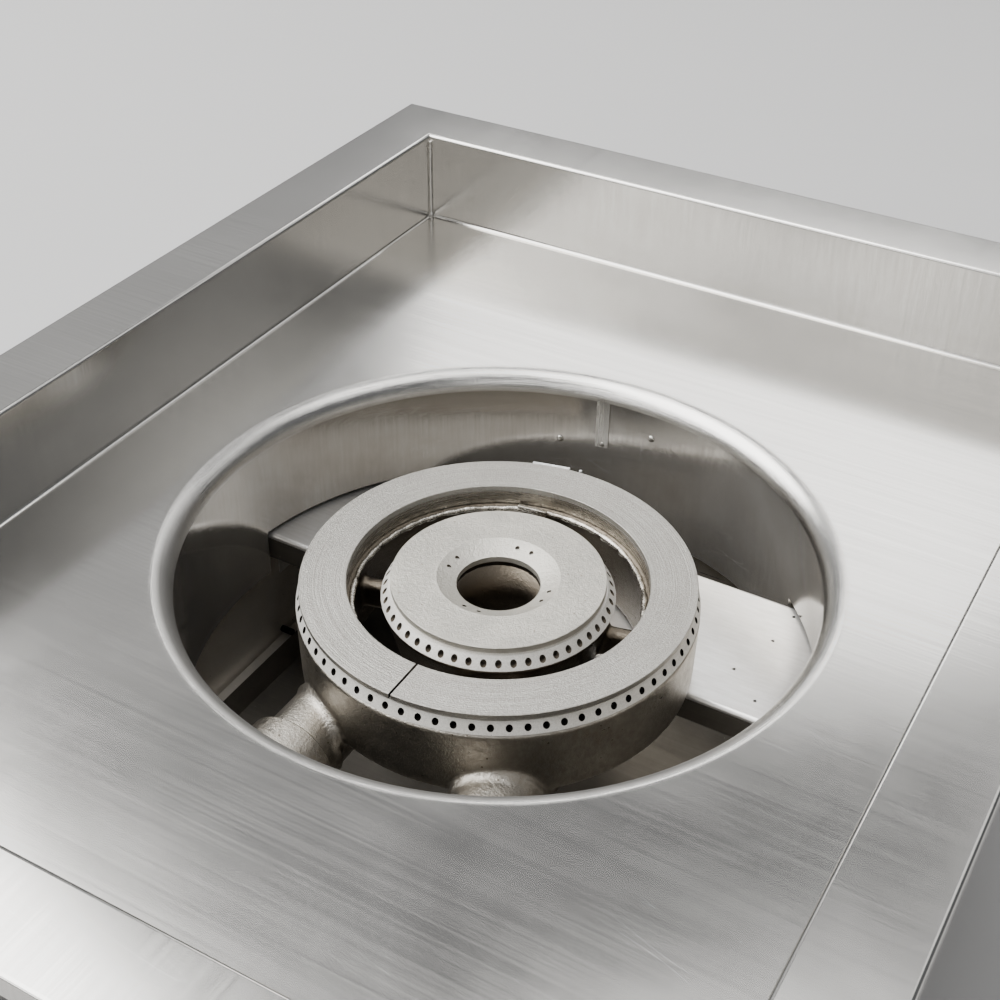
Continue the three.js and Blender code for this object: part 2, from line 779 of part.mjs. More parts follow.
// Casting: an annular outer burner and an inner cup on four spokes, fed by two mixing stubs
function burnerCasting() {
  const outerBand = castTopRadius;
  const bandFoot = castFootRadius;
  const raw = castRawRadius;
  const bore = outerCapBore;
  const rawBore = bore - innerLedge;
  const draftFoot = raw - castDraft;
  const ringSegments = outerPortCount;
  const grooveBottom = castTop - grooveHeight;

  const ring = turned([
    [outerCapRadius - 2 * grooveDepth, castTop],
    [outerCapRadius - 2 * grooveDepth, grooveBottom],
    [outerBand, grooveBottom],
    [bandFoot, bandBottom],
    [raw, bandBottom - castLedge],
    [draftFoot, castBottom + castChamfer],
    [draftFoot - castChamfer, castBottom],
    [rawBore, castBottom],
    [rawBore, bandBottom - castLedge],
    [bore, bandBottom],
    [bore, castTop],
  ], ringSegments);
  const channelOuter = outerCapRadius - 2 * grooveDepth - ringWall / 2;
  const ringChannel = turned([
    [channelOuter, castTop + cutOverrun],
    [channelOuter, castBottom + castFloor],
    [bore + ringWall, castBottom + castFloor],
    [bore + ringWall, castTop + cutOverrun],
  ], ringSegments);

  const stubZ = controlHeight;
  const leftEnd = [-mixerX, -Math.sqrt(ringMiddle ** 2 - mixerX ** 2), stubZ];
  const leftStub = bar([-mixerX, -stubEnd, stubZ], leftEnd, stubRadius).add(ball(leftEnd, stubRadius));
  const leftRun = bar([-mixerX, -stubEnd - cutOverrun, stubZ], leftEnd, stubBore);
  const leftBore = leftRun.add(ball(leftEnd, stubBore));
  const outer = ring.add(leftStub).subtract(ringChannel).subtract(leftBore);

  const turn = [mixerX, -innerCapRadius - innerTurnRoom, stubZ];
  const cupMiddle = (innerCapRadius + centreBoreRadius) / 2;
  const inside = [...polar(cupMiddle, innerStubAngle), stubZ];
  const run = (radius, overrun) => joined([
    bar([mixerX, -stubEnd - overrun, stubZ], turn, radius),
    ball(turn, radius),
    bar(turn, inside, radius),
    ball(inside, radius),
  ]);

  const innerBand = innerCapRadius - grooveDepth;
  const innerFoot = innerBand + bandSplay;
  const cupTop = innerCapTop - capThickness - seatGap;
  const cupGroove = cupTop - grooveHeight;
  const cup = turned([
    [0, cupTop],
    [innerCapRadius - 2 * grooveDepth, cupTop],
    [innerCapRadius - 2 * grooveDepth, cupGroove],
    [innerBand, cupGroove],
    [innerFoot, bandBottom],
    [innerFoot + castDraft, bandBottom - castLedge],
    [innerFoot - innerTaper, castBottom],
    [0, castBottom],
  ], innerPortCount);
  const cupOuter = innerCapRadius - 2 * grooveDepth - ringWall / 2;
  const cupInner = centreBoreRadius + centreWall;
  const cupChannel = turned([
    [cupOuter, cupTop + cutOverrun],
    [cupOuter, bandBottom - castLedge],
    [cupOuter - innerTaper, castBottom + castFloor],
    [cupInner, castBottom + castFloor],
    [cupInner, cupTop + cutOverrun],
  ], innerPortCount);
  const hubTop = innerCapTop - centreBoreDrop - capThickness - seatGap;
  const hubCut = turned([
    [0, cupTop + cutOverrun],
    [cupInner + cutOverrun, cupTop + cutOverrun],
    [cupInner + cutOverrun, hubTop],
    [0, hubTop],
  ], innerPortCount);
  const spokes = Array.from({ length: quarterTurns }, (_, i) => {
    const geometry = new THREE.BoxGeometry(bore - innerCapRadius + 2 * ringWall, spokeWidth, spokeHeight);
    geometry.translate((bore + innerCapRadius) / 2, 0, floorTop - spokeTopDrop - spokeHeight / 2);
    geometry.rotateZ(rad(spokeFirstAngle + (i * fullTurn) / quarterTurns));
    return solid(geometry);
  });
  const trimmedSpokes = joined(spokes).subtract(cupChannel).subtract(ringChannel);
  const centreBottom = stubZ - stubRadius - cutOverrun;
  const centre = turned([
    [0, cupTop + cutOverrun],
    [centreBoreRadius, cupTop + cutOverrun],
    [centreBoreRadius, centreBottom],
    [0, centreBottom],
  ], innerPortCount);

  const inner = cup.subtract(cupChannel);
  let body = joined([outer, run(stubRadius, 0), inner, trimmedSpokes]);
  body = body.subtract(run(stubBore, cutOverrun)).subtract(hubCut).subtract(centre);
  const cutters = [
    ...portCutters(outerPortCount, bandFoot - bandSplay / 2, ringWall + bandSplay),
    ...portCutters(innerPortCount, innerFoot - bandSplay / 2, ringWall + bandSplay),
  ];
  body = body.subtract(joined(cutters));
  for (const side of [-1, 1]) {
    const [x, y] = polar(ringMiddle, 90 + side * (90 - boltAngle));
    const boltHole = boltRadius + screwClearance;
    const hole = bar([x, y, castBottom - cutOverrun], [x, y, castBottom + boltDepth], boltHole, screwSides);
    body = body.subtract(hole);
  }
  return body;
}
place('burner_casting', burnerCasting(), 'casting');

// Outer cap: a flat machined ring, split at the front, with a lip down into the channel
function outerRingCap() {
  const channelOuter = outerCapRadius - 2 * grooveDepth - ringWall / 2;
  const bottom = outerCapTop - capThickness;
  const ring = turned([
    [outerCapBore, outerCapTop],
    [outerCapRadius, outerCapTop],
    [outerCapRadius, bottom],
    [channelOuter - capLipGap, bottom],
    [channelOuter - capLipGap, bottom - capLip],
    [outerCapBore + ringWall + capLipGap, bottom - capLip],
    [outerCapBore + ringWall + capLipGap, bottom],
    [outerCapBore, bottom],
  ], outerPortCount);
  const slit = block(
    [-slitWidth / 2, -outerCapRadius - cutOverrun, bottom - capLip - cutOverrun],
    [slitWidth / 2, -outerCapBore + cutOverrun, outerCapTop + cutOverrun],
  );
  return ring.subtract(slit);
}
place('outer_ring_cap', outerRingCap(), 'machined');

// Inner cap: a machined disc, countersunk to the centre bore, with four pairs of flame holes
function innerBurnerCap() {
  const bottom = innerCapTop - capThickness;
  const cupOuter = innerCapRadius - 2 * grooveDepth - ringWall / 2;
  const boreTop = innerCapTop - centreBoreDrop;
  const disc = turned([
    [centreBoreRadius, boreTop],
    [countersinkRadius, innerCapTop],
    [innerCapRadius, innerCapTop],
    [innerCapRadius, bottom],
    [cupOuter - capLipGap, bottom],
    [cupOuter - capLipGap, bottom - capLip],
    [centreBoreRadius + centreWall, boreTop - capThickness],
    [centreBoreRadius, boreTop - capThickness],
  ], innerPortCount);
  const holes = [];
  for (let quarter = 0; quarter < quarterTurns; quarter += 1) {
    for (const side of [-1, 1]) {
      const [x, y] = polar(flameHoleCircle, (quarter * fullTurn) / quarterTurns + side * flameHoleHalfAngle);
      const [low, high] = [boreTop - 2 * capThickness, innerCapTop + cutOverrun];
      holes.push(bar([x, y, low], [x, y, high], flameHoleRadius, portSides));
    }
  }
  return disc.subtract(joined(holes));
}
place('inner_burner_cap', innerBurnerCap(), 'machined');

// Kidney windows through a plate square to Y
function windows(x, from, to, firstAngle) {
  return Array.from({ length: windowCount }, (_, i) => {
    const start = firstAngle + (i * fullTurn) / windowCount;
    const shape = new THREE.Shape();
    shape.absarc(0, 0, windowOuter, rad(start), rad(start + windowSpan), false);
    shape.absarc(0, 0, windowInner, rad(start + windowSpan), rad(start), true);
    const geometry = new THREE.ExtrudeGeometry(shape, {
      depth: to - from,
      bevelEnabled: false,
      curveSegments: windowSteps,
    });
    geometry.rotateX(Math.PI / 2);
    geometry.translate(x, to, controlHeight);
    return solid(geometry);
  });
}

// Mixer tube: a wider cast sleeve on each stub, closed at the front but for air windows
function mixerTube(x) {
  const socket = stubRadius + mixerSocketGap;
  const back = -mixerStart;
  const front = -mixerEnd;
  const step = -mixerStart - mixerSocketDepth;
  const body = turnedAlongY([
    [socket, back],
    [socket, step],
    [stubBore, step - mixerEndWall],
    [stubBore, front + mixerEndWall],
    [spudTipRadius + spudFit, front + mixerEndWall],
    [spudTipRadius + spudFit, front],
    [mixerRadius - castDraft, front],
    [mixerRadius, front + castDraft],
    [mixerRadius, back - castDraft],
    [mixerRadius - castDraft, back],
  ], roundSides, [x, 0, controlHeight]);
  return body.subtract(joined(windows(x, front - cutOverrun, front + mixerEndWall + cutOverrun, 0)));
}
place('outer_mixer_tube', mixerTube(-mixerX), 'casting');
place('inner_mixer_tube', mixerTube(mixerX), 'casting');

// Air shutter: a disc with the same windows that turns on the orifice's tip
function airShutter(x) {
  const back = shutterBack;
  const front = shutterFront;
  const disc = turnedAlongY([
    [spudTipRadius + spudFit, back],
    [spudTipRadius + spudFit, front],
    [shutterRadius, front],
    [shutterRadius, back],
  ], roundSides, [x, 0, controlHeight]);
  const tab = block(
    [x - shutterTabWidth / 2, front, controlHeight + shutterRadius - shutterSheet],
    [x + shutterTabWidth / 2, back, controlHeight + shutterRadius + shutterTabReach],
  );
  return disc.add(tab).subtract(joined(windows(x, front - cutOverrun, back + cutOverrun, 0)));
}
place('outer_air_shutter', airShutter(-mixerX), 'plated');
place('inner_air_shutter', airShutter(mixerX), 'plated');

// Gas orifice: a hexagon with a round tip through the shutter, drilled from end to end
function gasOrifice(x) {
  const tip = turnedAlongY([
    [spudBore, spudHexBack + spudTipReach],
    [spudBore, spudFront + spudHexLength / 2],
    [spudTipRadius, spudFront + spudHexLength / 2],
    [spudTipRadius, spudHexBack + spudTipReach],
  ], tubeSides, [x, 0, controlHeight]);
  const hexagon = turnedAlongY([
    [spudBore, spudHexBack],
    [spudBore, spudFront],
    [spudHexRadius, spudFront],
    [spudHexRadius, spudHexBack],
  ], hexSides, [x, 0, controlHeight]);
  const drill = bar([x, spudFront - cutOverrun, controlHeight],
    [x, spudHexBack + spudTipReach + cutOverrun, controlHeight], spudBore, screwSides);
  return tip.add(hexagon).subtract(drill);
}
place('outer_orifice', gasOrifice(-mixerX), 'brass');
place('inner_orifice', gasOrifice(mixerX), 'brass');

// Gas valve: a block with an outlet to the orifice, a nipple on the manifold and a stem bore
function gasValve(x) {
  const low = controlHeight - valveHeight / 2;
  const body = block([x - valveWidth / 2, valveFront, low],
    [x + valveWidth / 2, valveBack, low + valveHeight]);
  const outlet = bar([x, valveBack - cutOverrun, controlHeight],
    [x, valveBack + outletLength, controlHeight], outletRadius);
  const nipple = bar([x, pipeY, low + cutOverrun], [x, pipeY, pipeHeight], nippleRadius);
  const pipe = bar([x - valveWidth, pipeY, pipeHeight], [x + valveWidth, pipeY, pipeHeight],
    pipeRadius + seatGap, roundSides);
  const stemBore = bar([x, valveFront - cutOverrun, controlHeight],
    [x, valveFront + stemDepth + pushTravel + seatGap, controlHeight], stemRadius + stemFit);
  return joined([body, outlet, nipple]).subtract(pipe).subtract(stemBore);
}
place('outer_gas_valve', gasValve(-mixerX), 'brass');
place('inner_gas_valve', gasValve(mixerX), 'brass');

// Valve stem, its thrust washer, the knob and the bezel on the panel
const bezelFront = frontFace - seatGap - bezelThickness;
const knobBack = bezelFront - pushTravel - seatGap;
const knobFront = knobBack - knobLength;
function valveStem(x) {
  const back = valveFront + stemDepth;
  return bar([x, knobBack - knobHubDepth + seatGap, controlHeight], [x, back, controlHeight], stemRadius);
}
function thrustWasher(x) {
  const back = valveFront - pushTravel - seatGap;
  const bore = stemRadius + stemFit;
  return turnedAlongY([
    [bore, back],
    [bore, back - washerThickness],
    [washerRadius, back - washerThickness],
    [washerRadius, back],
  ], tubeSides, [x, 0, controlHeight]);
}
function controlKnob(x) {
  const skirtFront = knobBack - knobSkirtHeight;
  const body = turnedAlongY([
    [0, knobBack],
    [knobSkirtRadius, knobBack],
    [knobSkirtRadius, skirtFront + knobEdge],
    [knobSkirtRadius - knobEdge, skirtFront],
    [knobRadius, skirtFront],
    [knobRadius - knobEdge / 2, knobFront + knobEdge],
    [knobRadius - 2 * knobEdge, knobFront],
    [0, knobFront],
  ], roundSides, [x, 0, controlHeight]);
  const grip = block(
    [x - gripWidth / 2, knobFront - gripHeight, controlHeight - knobRadius + 2 * knobEdge],
    [x + gripWidth / 2, knobFront + knobEdge, controlHeight + knobRadius - 2 * knobEdge],
  );
  const socket = bar([x, knobBack + cutOverrun, controlHeight],
    [x, knobBack - knobHubDepth, controlHeight], stemRadius + stemFit);
  return body.add(grip).subtract(socket);
}
function knobBezel(x) {
  const back = frontFace - seatGap;
  return turnedAlongY([
    [bezelBore, back],
    [bezelBore, bezelFront],
    [bezelRadius - knobEdge, bezelFront],
    [bezelRadius, bezelFront + knobEdge / 2],
    [bezelRadius, back],
  ], wideSides, [x, 0, controlHeight]);
}
for (const [name, x] of [['outer', -mixerX], ['inner', mixerX]]) {
  place(`${name}_valve_stem`, valveStem(x), 'plated');
  place(`${name}_thrust_washer`, thrustWasher(x), 'plated');
  place(`${name}_knob`, controlKnob(x), 'knob');
  place(`${name}_bezel`, knobBezel(x), 'brushed');
}

// Manifold pipe across the front, its inlet fitting and the two saddles that carry it
const pipeRightEnd = halfBox - inletReach / 4;
function gasManifold() {
  const left = -mixerX - pipeOverhang;
  const pipe = bar([left, pipeY, pipeHeight], [pipeRightEnd, pipeY, pipeHeight], pipeRadius, roundSides);
  const bore = bar([left + pipeEndWall, pipeY, pipeHeight],
    [pipeRightEnd + cutOverrun, pipeY, pipeHeight], pipeBore);
  return pipe.subtract(bore);
}
place('gas_manifold', gasManifold(), 'plated');

function inletFitting() {
  const start = pipeRightEnd + seatGap;
  const end = outside + inletReach;
  const neck = bar([start, pipeY, pipeHeight],
    [end - inletHexLength / 2, pipeY, pipeHeight], inletNeckRadius, roundSides);
  const hexagon = bar([end - inletHexLength, pipeY, pipeHeight],
    [end, pipeY, pipeHeight], inletHexRadius, hexSides);
  const bore = bar([start - cutOverrun, pipeY, pipeHeight], [end + cutOverrun, pipeY, pipeHeight], inletBore);
  return neck.add(hexagon).subtract(bore);
}
place('gas_inlet_fitting', inletFitting(), 'brass');

function pipeSaddle(x) {
  const half = saddleWidth / 2;
  const armTop = pipeHeight - pipeRadius - seatGap;
  const armRear = pipeY + pipeRadius + seatGap;
  const foot = block([x - half, boxFront, armTop - saddleSheet],
    [x + half, boxFront + saddleSheet, armTop - saddleSheet + saddleHeight]);
  const arm = block([x - half, boxFront, armTop - saddleSheet], [x + half, armRear + saddleSheet, armTop]);
  const lip = block([x - half, armRear, armTop - saddleSheet],
    [x + half, armRear + saddleSheet, armTop + saddleLip]);
  return joined([foot, arm, lip]);
}
place('left_pipe_saddle', pipeSaddle(-mixerX - leftSaddleOffset), 'plated');
place('right_pipe_saddle', pipeSaddle(mixerX + rightSaddleOffset), 'plated');

// Igniter: push button through the panel, and the electrode behind the outer burner
function igniterHousing() {
  const front = frontFace - igniterNutHeight;
  const tube = turnedAlongY([
    [igniterButtonRadius + igniterButtonFit, front],
    [igniterHousingRadius, front],
    [igniterHousingRadius, frontFace + igniterHousingLength],
    [0, frontFace + igniterHousingLength],
    [0, front + igniterButtonDepth + igniterTravel + 2 * seatGap],
    [igniterButtonRadius + igniterButtonFit, front + igniterButtonDepth + igniterTravel + 2 * seatGap],
  ], roundSides, [0, 0, controlHeight]);
  return tube;
}
place('igniter_housing', igniterHousing(), 'knob');

function igniterNut() {
  const back = frontFace - seatGap;
  const bore = igniterHousingRadius + seatGap;
  return turnedAlongY([
    [bore, back],
    [bore, back - igniterNutHeight],
    [igniterNutRadius, back - igniterNutHeight],
    [igniterNutRadius, back],
  ], hexSides, [0, 0, controlHeight]).subtract(
    bar([0, back + cutOverrun, controlHeight],
      [0, back - 2 * igniterNutHeight, controlHeight], bore, roundSides),
  );
}
place('igniter_nut', igniterNut(), 'plated');

function igniterButton() {
  const back = frontFace - igniterNutHeight + igniterButtonDepth;
  const front = frontFace - igniterNutHeight - igniterButtonReach;
  return turnedAlongY([
    [0, front],
    [igniterButtonRadius - knobEdge, front],
    [igniterButtonRadius, front + knobEdge],
    [igniterButtonRadius, back],
    [0, back],
  ], roundSides, [0, 0, controlHeight]);
}
place('igniter_button', igniterButton(), 'knob');

function atIgniter(body) {
  return body.rotate([0, 0, igniterAngle]);
}
const footTop = channelTop + seatGap + igniterSheet;
const earHeight = channelTop + igniterEarHeight;
const ceramicOffset = igniterStripWidth / 2 + igniterEarWidth / 2;
const igniterStandoff = castRawRadius + igniterRoom;
function igniterBracket() {
  const half = igniterStripWidth / 2;
  const face = igniterStandoff;
  const top = floorTop - igniterTabDrop;
  const strip = block([face, -half, footTop - igniterSheet], [face + igniterSheet, half, top]);
  const foot = block([face, -half, footTop - igniterSheet], [face + igniterFoot, half, footTop]);
  const tab = block([face - igniterTab, -half, top - igniterSheet], [face + igniterSheet, half, top]);
  const earHalf = igniterEarDepth / 2;
  const ear = block([face - earHalf, -half - igniterEarWidth, earHeight],
    [face + earHalf, -half + cutOverrun, earHeight + igniterSheet]);
  const hole = bar([face, -ceramicOffset, earHeight - cutOverrun],
    [face, -ceramicOffset, earHeight + igniterSheet + cutOverrun], ceramicRadius + seatGap);
  return atIgniter(joined([strip, foot, tab, ear]).subtract(hole));
}
place('igniter_bracket', igniterBracket(), 'plated');

function igniterCeramic() {
  const rest = earHeight + igniterSheet + seatGap;
  const body = turned([
    [0, rest + ceramicAbove],
    [ceramicRadius / 2, rest + ceramicAbove],
    [ceramicRadius, rest + ceramicAbove - ceramicRadius],
    [ceramicRadius, rest + ceramicCollarHeight],
    [ceramicCollar, rest + ceramicCollarHeight],
    [ceramicCollar, rest],
    [ceramicRadius, rest],
    [ceramicRadius, rest - ceramicBelow],
    [0, rest - ceramicBelow],
  ], tubeSides);
  return atIgniter(body.translate([igniterStandoff, -ceramicOffset, 0]));
}
place('igniter_ceramic', igniterCeramic(), 'ceramic');

function igniterPin() {
  const base = earHeight + igniterSheet + ceramicAbove + 2 * seatGap;
  return atIgniter(bar([igniterStandoff, -ceramicOffset, base],
    [igniterStandoff, -ceramicOffset, base + pinReach], pinRadius, screwSides));
}
place('igniter_pin', igniterPin(), 'plated');

// Fasteners: a shank with a domed head, built pointing along +Z and turned into place
function screwBody(shankRadius, shankLength, headRadius, headHeight, segments) {
  return turned([
    [0, headHeight],
    [headRadius / 2, headHeight],
    [headRadius, 0],
    [shankRadius, 0],
    [shankRadius, -shankLength],
    [0, -shankLength],
  ], segments);
}
function machineScrew() {
  return screwBody(screwRadius, screwLength, screwHeadRadius, screwHeadHeight, screwSides);
}

channelScrewPlaces.forEach((y, i) => {
  const spot = ['front', 'rear'][i];
  const head = outside + seatGap;
  const right = machineScrew().rotate([0, 90, 0]).translate([head, y, channelScrewHeight]);
  place(`left_channel_screw_${spot}`, right.mirror([1, 0, 0]), 'plated');
  place(`right_channel_screw_${spot}`, right, 'plated');
});
for (const [side, x] of [['left', -flangeScrewX], ['right', flangeScrewX]]) {
  for (const [level, z] of [['lower', panelScrewLow], ['upper', panelScrewHigh]]) {
    const front = machineScrew().rotate([90, 0, 0]).translate([x, frontFace - seatGap, z]);
    place(`${side}_panel_screw_${level}`, front, 'plated');
    const rear = machineScrew().rotate([-90, 0, 0]).translate([x, boxRear + panelSheet + seatGap, z]);
    place(`${side}_rear_screw_${level}`, rear, 'plated');
  }
}
for (const [side, sign] of [['right', -1], ['left', 1]]) {
  const [x, y] = polar(ringMiddle, 90 + sign * (90 - boltAngle));
  const shank = channelSheet + 2 * seatGap + boltDepth - seatGap;
  const bolt = screwBody(boltRadius, shank, boltHeadRadius, boltHeadHeight, hexSides).rotate([180, 0, 0]);
  place(`${side}_casting_bolt`, bolt.translate([x, y, channelTop - channelSheet - seatGap]), 'plated');
}

export default part;
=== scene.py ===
# Built in side burner: the looks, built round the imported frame. Metres, +Z up, X right, Y back.
import math

import bpy
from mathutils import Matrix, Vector


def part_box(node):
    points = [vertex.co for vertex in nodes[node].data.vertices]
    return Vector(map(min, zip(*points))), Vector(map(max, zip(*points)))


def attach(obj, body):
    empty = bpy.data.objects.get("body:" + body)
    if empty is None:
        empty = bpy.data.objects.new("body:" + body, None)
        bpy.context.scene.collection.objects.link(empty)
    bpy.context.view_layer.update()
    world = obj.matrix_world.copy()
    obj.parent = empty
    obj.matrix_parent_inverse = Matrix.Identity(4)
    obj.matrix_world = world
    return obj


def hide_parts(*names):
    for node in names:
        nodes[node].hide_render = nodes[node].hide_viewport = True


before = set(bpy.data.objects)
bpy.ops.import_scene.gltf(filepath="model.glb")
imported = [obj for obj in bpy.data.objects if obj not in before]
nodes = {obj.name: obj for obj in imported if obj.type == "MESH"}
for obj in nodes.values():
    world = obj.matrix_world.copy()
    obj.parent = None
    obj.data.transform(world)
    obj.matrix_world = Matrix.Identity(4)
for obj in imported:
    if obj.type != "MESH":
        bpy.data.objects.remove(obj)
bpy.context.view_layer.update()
print("frame loaded with", len(nodes), "nodes")

# camera, at the photograph's view; its turn is in degrees
camera = {
    "place": (0.33346, -0.59085, 0.73628), "turn": (53.69, -0.576, 29.84), "lens": 55.38,
    "sensor": 36.0, "near": 0.01,
}
bpy.ops.object.camera_add(location=camera["place"])
eye = bpy.context.active_object
eye.rotation_euler = [math.radians(angle) for angle in camera["turn"]]
eye.data.lens = camera["lens"]
eye.data.sensor_width = camera["sensor"]
eye.data.clip_start = camera["near"]
bpy.context.scene.camera = eye
print("camera placed")

# modelling by hand: small helpers round the operators
tiny = 0.00001  # places this near each other are the same


def leaveEdit():
    bpy.ops.object.mode_set(mode="OBJECT")


def deselectAll():
    if bpy.context.mode != "OBJECT":
        leaveEdit()
    bpy.ops.object.select_all(action="DESELECT")


def activate(piece):
    deselectAll()
    piece.select_set(True)
    bpy.context.view_layer.objects.active = piece


def edit(piece, select="SELECT", mode="VERT"):
    activate(piece)
    bpy.ops.object.mode_set(mode="EDIT")
    bpy.ops.mesh.select_mode(type=mode)
    bpy.ops.mesh.select_all(action=select)


def pick(piece, kind, test):
    # selects vertices, edges or faces by their place, then goes back to edit mode
    edit(piece, "DESELECT", kind)
    leaveEdit()
    mesh = piece.data
    if kind == "VERT":
        for vertex in mesh.vertices:
            vertex.select = test(vertex.co)
    elif kind == "EDGE":
        for edge in mesh.edges:
            edge.select = test(*[mesh.vertices[i].co for i in edge.vertices])
    else:
        for face in mesh.polygons:
            face.select = test(face.center, face.normal)
    bpy.ops.object.mode_set(mode="EDIT")


def settle(piece, place=(0, 0, 0), turn=(0, 0, 0), scale=(1, 1, 1)):
    # the piece is scaled, turned by degrees and placed, and all of it goes into its mesh
    activate(piece)
    piece.scale = scale
    piece.rotation_euler = [math.radians(angle) for angle in turn]
    piece.location = place
    bpy.ops.object.transform_apply(location=True, rotation=True, scale=True)
    return piece


def aim(piece, way, place):
    # as settle, with the piece's Z axis turned this way
    activate(piece)
    piece.rotation_mode = "QUATERNION"
    piece.rotation_quaternion = way.to_track_quat("Z", "Y")
    piece.location = place
    bpy.ops.object.transform_apply(location=True, rotation=True, scale=True)
    piece.rotation_mode = "XYZ"
    return piece


def newPiece(name, **ways):
    # the primitive that was just added, under its name and in its place
    piece = bpy.context.active_object
    piece.name = name
    return settle(piece, **ways)


def alongY(piece, centre):
    # a piece turned about Z is laid with its top towards the front
    return settle(piece, centre, (90, 0, 0))


def applyModifier(piece, kind, **values):
    activate(piece)
    bpy.ops.object.modifier_add(type=kind)
    modifier = piece.modifiers[-1]
    for name, value in values.items():
        setattr(modifier, name, value)
    bpy.ops.object.modifier_apply(modifier=modifier.name)


def smooth(piece, angle=35):
    activate(piece)
    bpy.ops.object.shade_smooth_by_angle(angle=math.radians(angle))
    applyModifier(piece, "WEIGHTED_NORMAL", keep_sharp=True)


def cleanUp(piece, distance=tiny):
    edit(piece)
    bpy.ops.mesh.remove_doubles(threshold=distance)
    bpy.ops.mesh.normals_make_consistent(inside=False)
    leaveEdit()


def softEdges(piece, width, segments=2, angle=35):
    applyModifier(piece, "BEVEL", width=width, segments=segments, limit_method="ANGLE",
                  angle_limit=math.radians(angle), harden_normals=False)


def giveMaterials(piece, *materials):
    for material in materials:
        piece.data.materials.append(material)


def paintFaces(piece, index, test):
    # the faces that pass the test get the piece's material of this index
    pick(piece, "FACE", test)
    piece.active_material_index = index
    bpy.ops.object.material_slot_assign()
    leaveEdit()


def cut(piece, cutter, inside=None):
    # inside is the material that the cut faces get
    if inside:
        giveMaterials(cutter, inside)
    applyModifier(piece, "BOOLEAN", operation="DIFFERENCE", solver="EXACT", object=cutter,
                  material_mode="TRANSFER" if inside else "INDEX")
    bpy.data.objects.remove(cutter)


def join(pieces, name):
    activate(pieces[0])
    for other in pieces[1:]:
        other.select_set(True)
    bpy.ops.object.join()
    joined = bpy.context.active_object
    joined.name = name
    return joined


def copyOf(piece, name):
    twin = piece.copy()
    twin.data = piece.data.copy()
    twin.name = name
    bpy.context.collection.objects.link(twin)
    return twin


def arcPoints(across, height, radius, start, end, steps):
    turns = [math.radians(start + (end - start) * i / steps) for i in range(steps + 1)]
    return [(across + radius * math.cos(turn), height + radius * math.sin(turn)) for turn in turns]


def drawLine(name, points):
    # a plane merged to one vertex, which is then extruded from point to point
    bpy.ops.mesh.primitive_plane_add(size=0.001)
    piece = bpy.context.active_object
    piece.name = name
    edit(piece)
    bpy.ops.mesh.merge(type="CENTER")
    bpy.ops.transform.translate(value=points[0])
    for last, point in zip(points, points[1:]):
        step = [b - a for a, b in zip(last, point)]
        bpy.ops.mesh.extrude_vertices_move(TRANSFORM_OT_translate={"value": step})
    leaveEdit()
    return piece


def lathe(name, outline, steps=96, closed=True):
    deselectAll()
    loop = outline + [outline[0]] if closed else outline
    piece = drawLine(name, [(radius, 0.0, height) for radius, height in loop])
    edit(piece)
    bpy.ops.mesh.remove_doubles(threshold=tiny / 10)
    bpy.ops.mesh.spin(steps=steps, angle=2 * math.pi, center=(0, 0, 0), axis=(0, 0, 1),
                      use_auto_merge=True)
    leaveEdit()
    cleanUp(piece, tiny / 5)
    return piece


def foldedSheet(name, points, sweep, thickness, bend):
    # a line drawn in section, extruded along its length, then given a wall
    deselectAll()
    piece = drawLine(name, points)
    edit(piece, "SELECT", "EDGE")
    bpy.ops.mesh.extrude_edges_move(TRANSFORM_OT_translate={"value": sweep})
    leaveEdit()
    applyModifier(piece, "BEVEL", width=bend, segments=3, limit_method="ANGLE",
                  angle_limit=math.radians(30))
    cleanUp(piece)
    applyModifier(piece, "SOLIDIFY", thickness=thickness, offset=-1, use_even_offset=True)
    return piece


def blockAt(name, low, high):
    deselectAll()
    bpy.ops.mesh.primitive_cube_add(size=1)
    return newPiece(name, place=[(a + b) / 2 for a, b in zip(low, high)],
                    scale=[b - a for a, b in zip(low, high)])


def rodAt(name, start, end, radius, sides=32):
    deselectAll()
    path = Vector(end) - Vector(start)
    bpy.ops.mesh.primitive_cylinder_add(vertices=sides, radius=radius, depth=path.length)
    piece = bpy.context.active_object
    piece.name = name
    return aim(piece, path, (Vector(start) + Vector(end)) / 2)


def frontCentre(node):
    # the middle of the node's rear face, from which it reaches to the front
    low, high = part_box(node)
    return ((low.x + high.x) / 2, high.y, (low.z + high.z) / 2)


def finishPiece(piece, slot, material, *replaced, body="housing"):
    if not piece.data.materials:
        giveMaterials(piece, material)
    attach(piece, body)
    if replaced:
        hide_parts(*replaced)


# materials: effects shared as groups


def plug(tree, node, entry, value):
    # value is another node's output or a constant; a colour's last part is left out
    socket = node.inputs[entry]
    if isinstance(value, bpy.types.NodeSocket):
        tree.links.new(value, socket)
    else:
        socket.default_value = (*value, 1.0) if socket.type == "RGBA" else value


def newNode(tree, kind, output, entries, **settings):
    # makes a node, fills its entries and gives one of its outputs
    made = tree.nodes.new(kind)
    for name, value in settings.items():
        setattr(made, name, value)
    for entry, value in entries.items():
        plug(tree, made, entry, value)
    return made.outputs[output]


def newGroup(name, entries, outputs=("Value",)):
    # a number makes a float entry, three numbers make a vector entry
    group = bpy.data.node_groups.new(name, "ShaderNodeTree")
    for label, value in entries.items():
        kind = "NodeSocketVector" if isinstance(value, tuple) else "NodeSocketFloat"
        made = group.interface.new_socket(name=label, in_out="INPUT", socket_type=kind)
        made.default_value = value
    for label in outputs:
        kind = "NodeSocketVector" if label == "Stretch" else "NodeSocketFloat"
        group.interface.new_socket(name=label, in_out="OUTPUT", socket_type=kind)
    return group, group.nodes.new("NodeGroupInput").outputs, group.nodes.new("NodeGroupOutput")


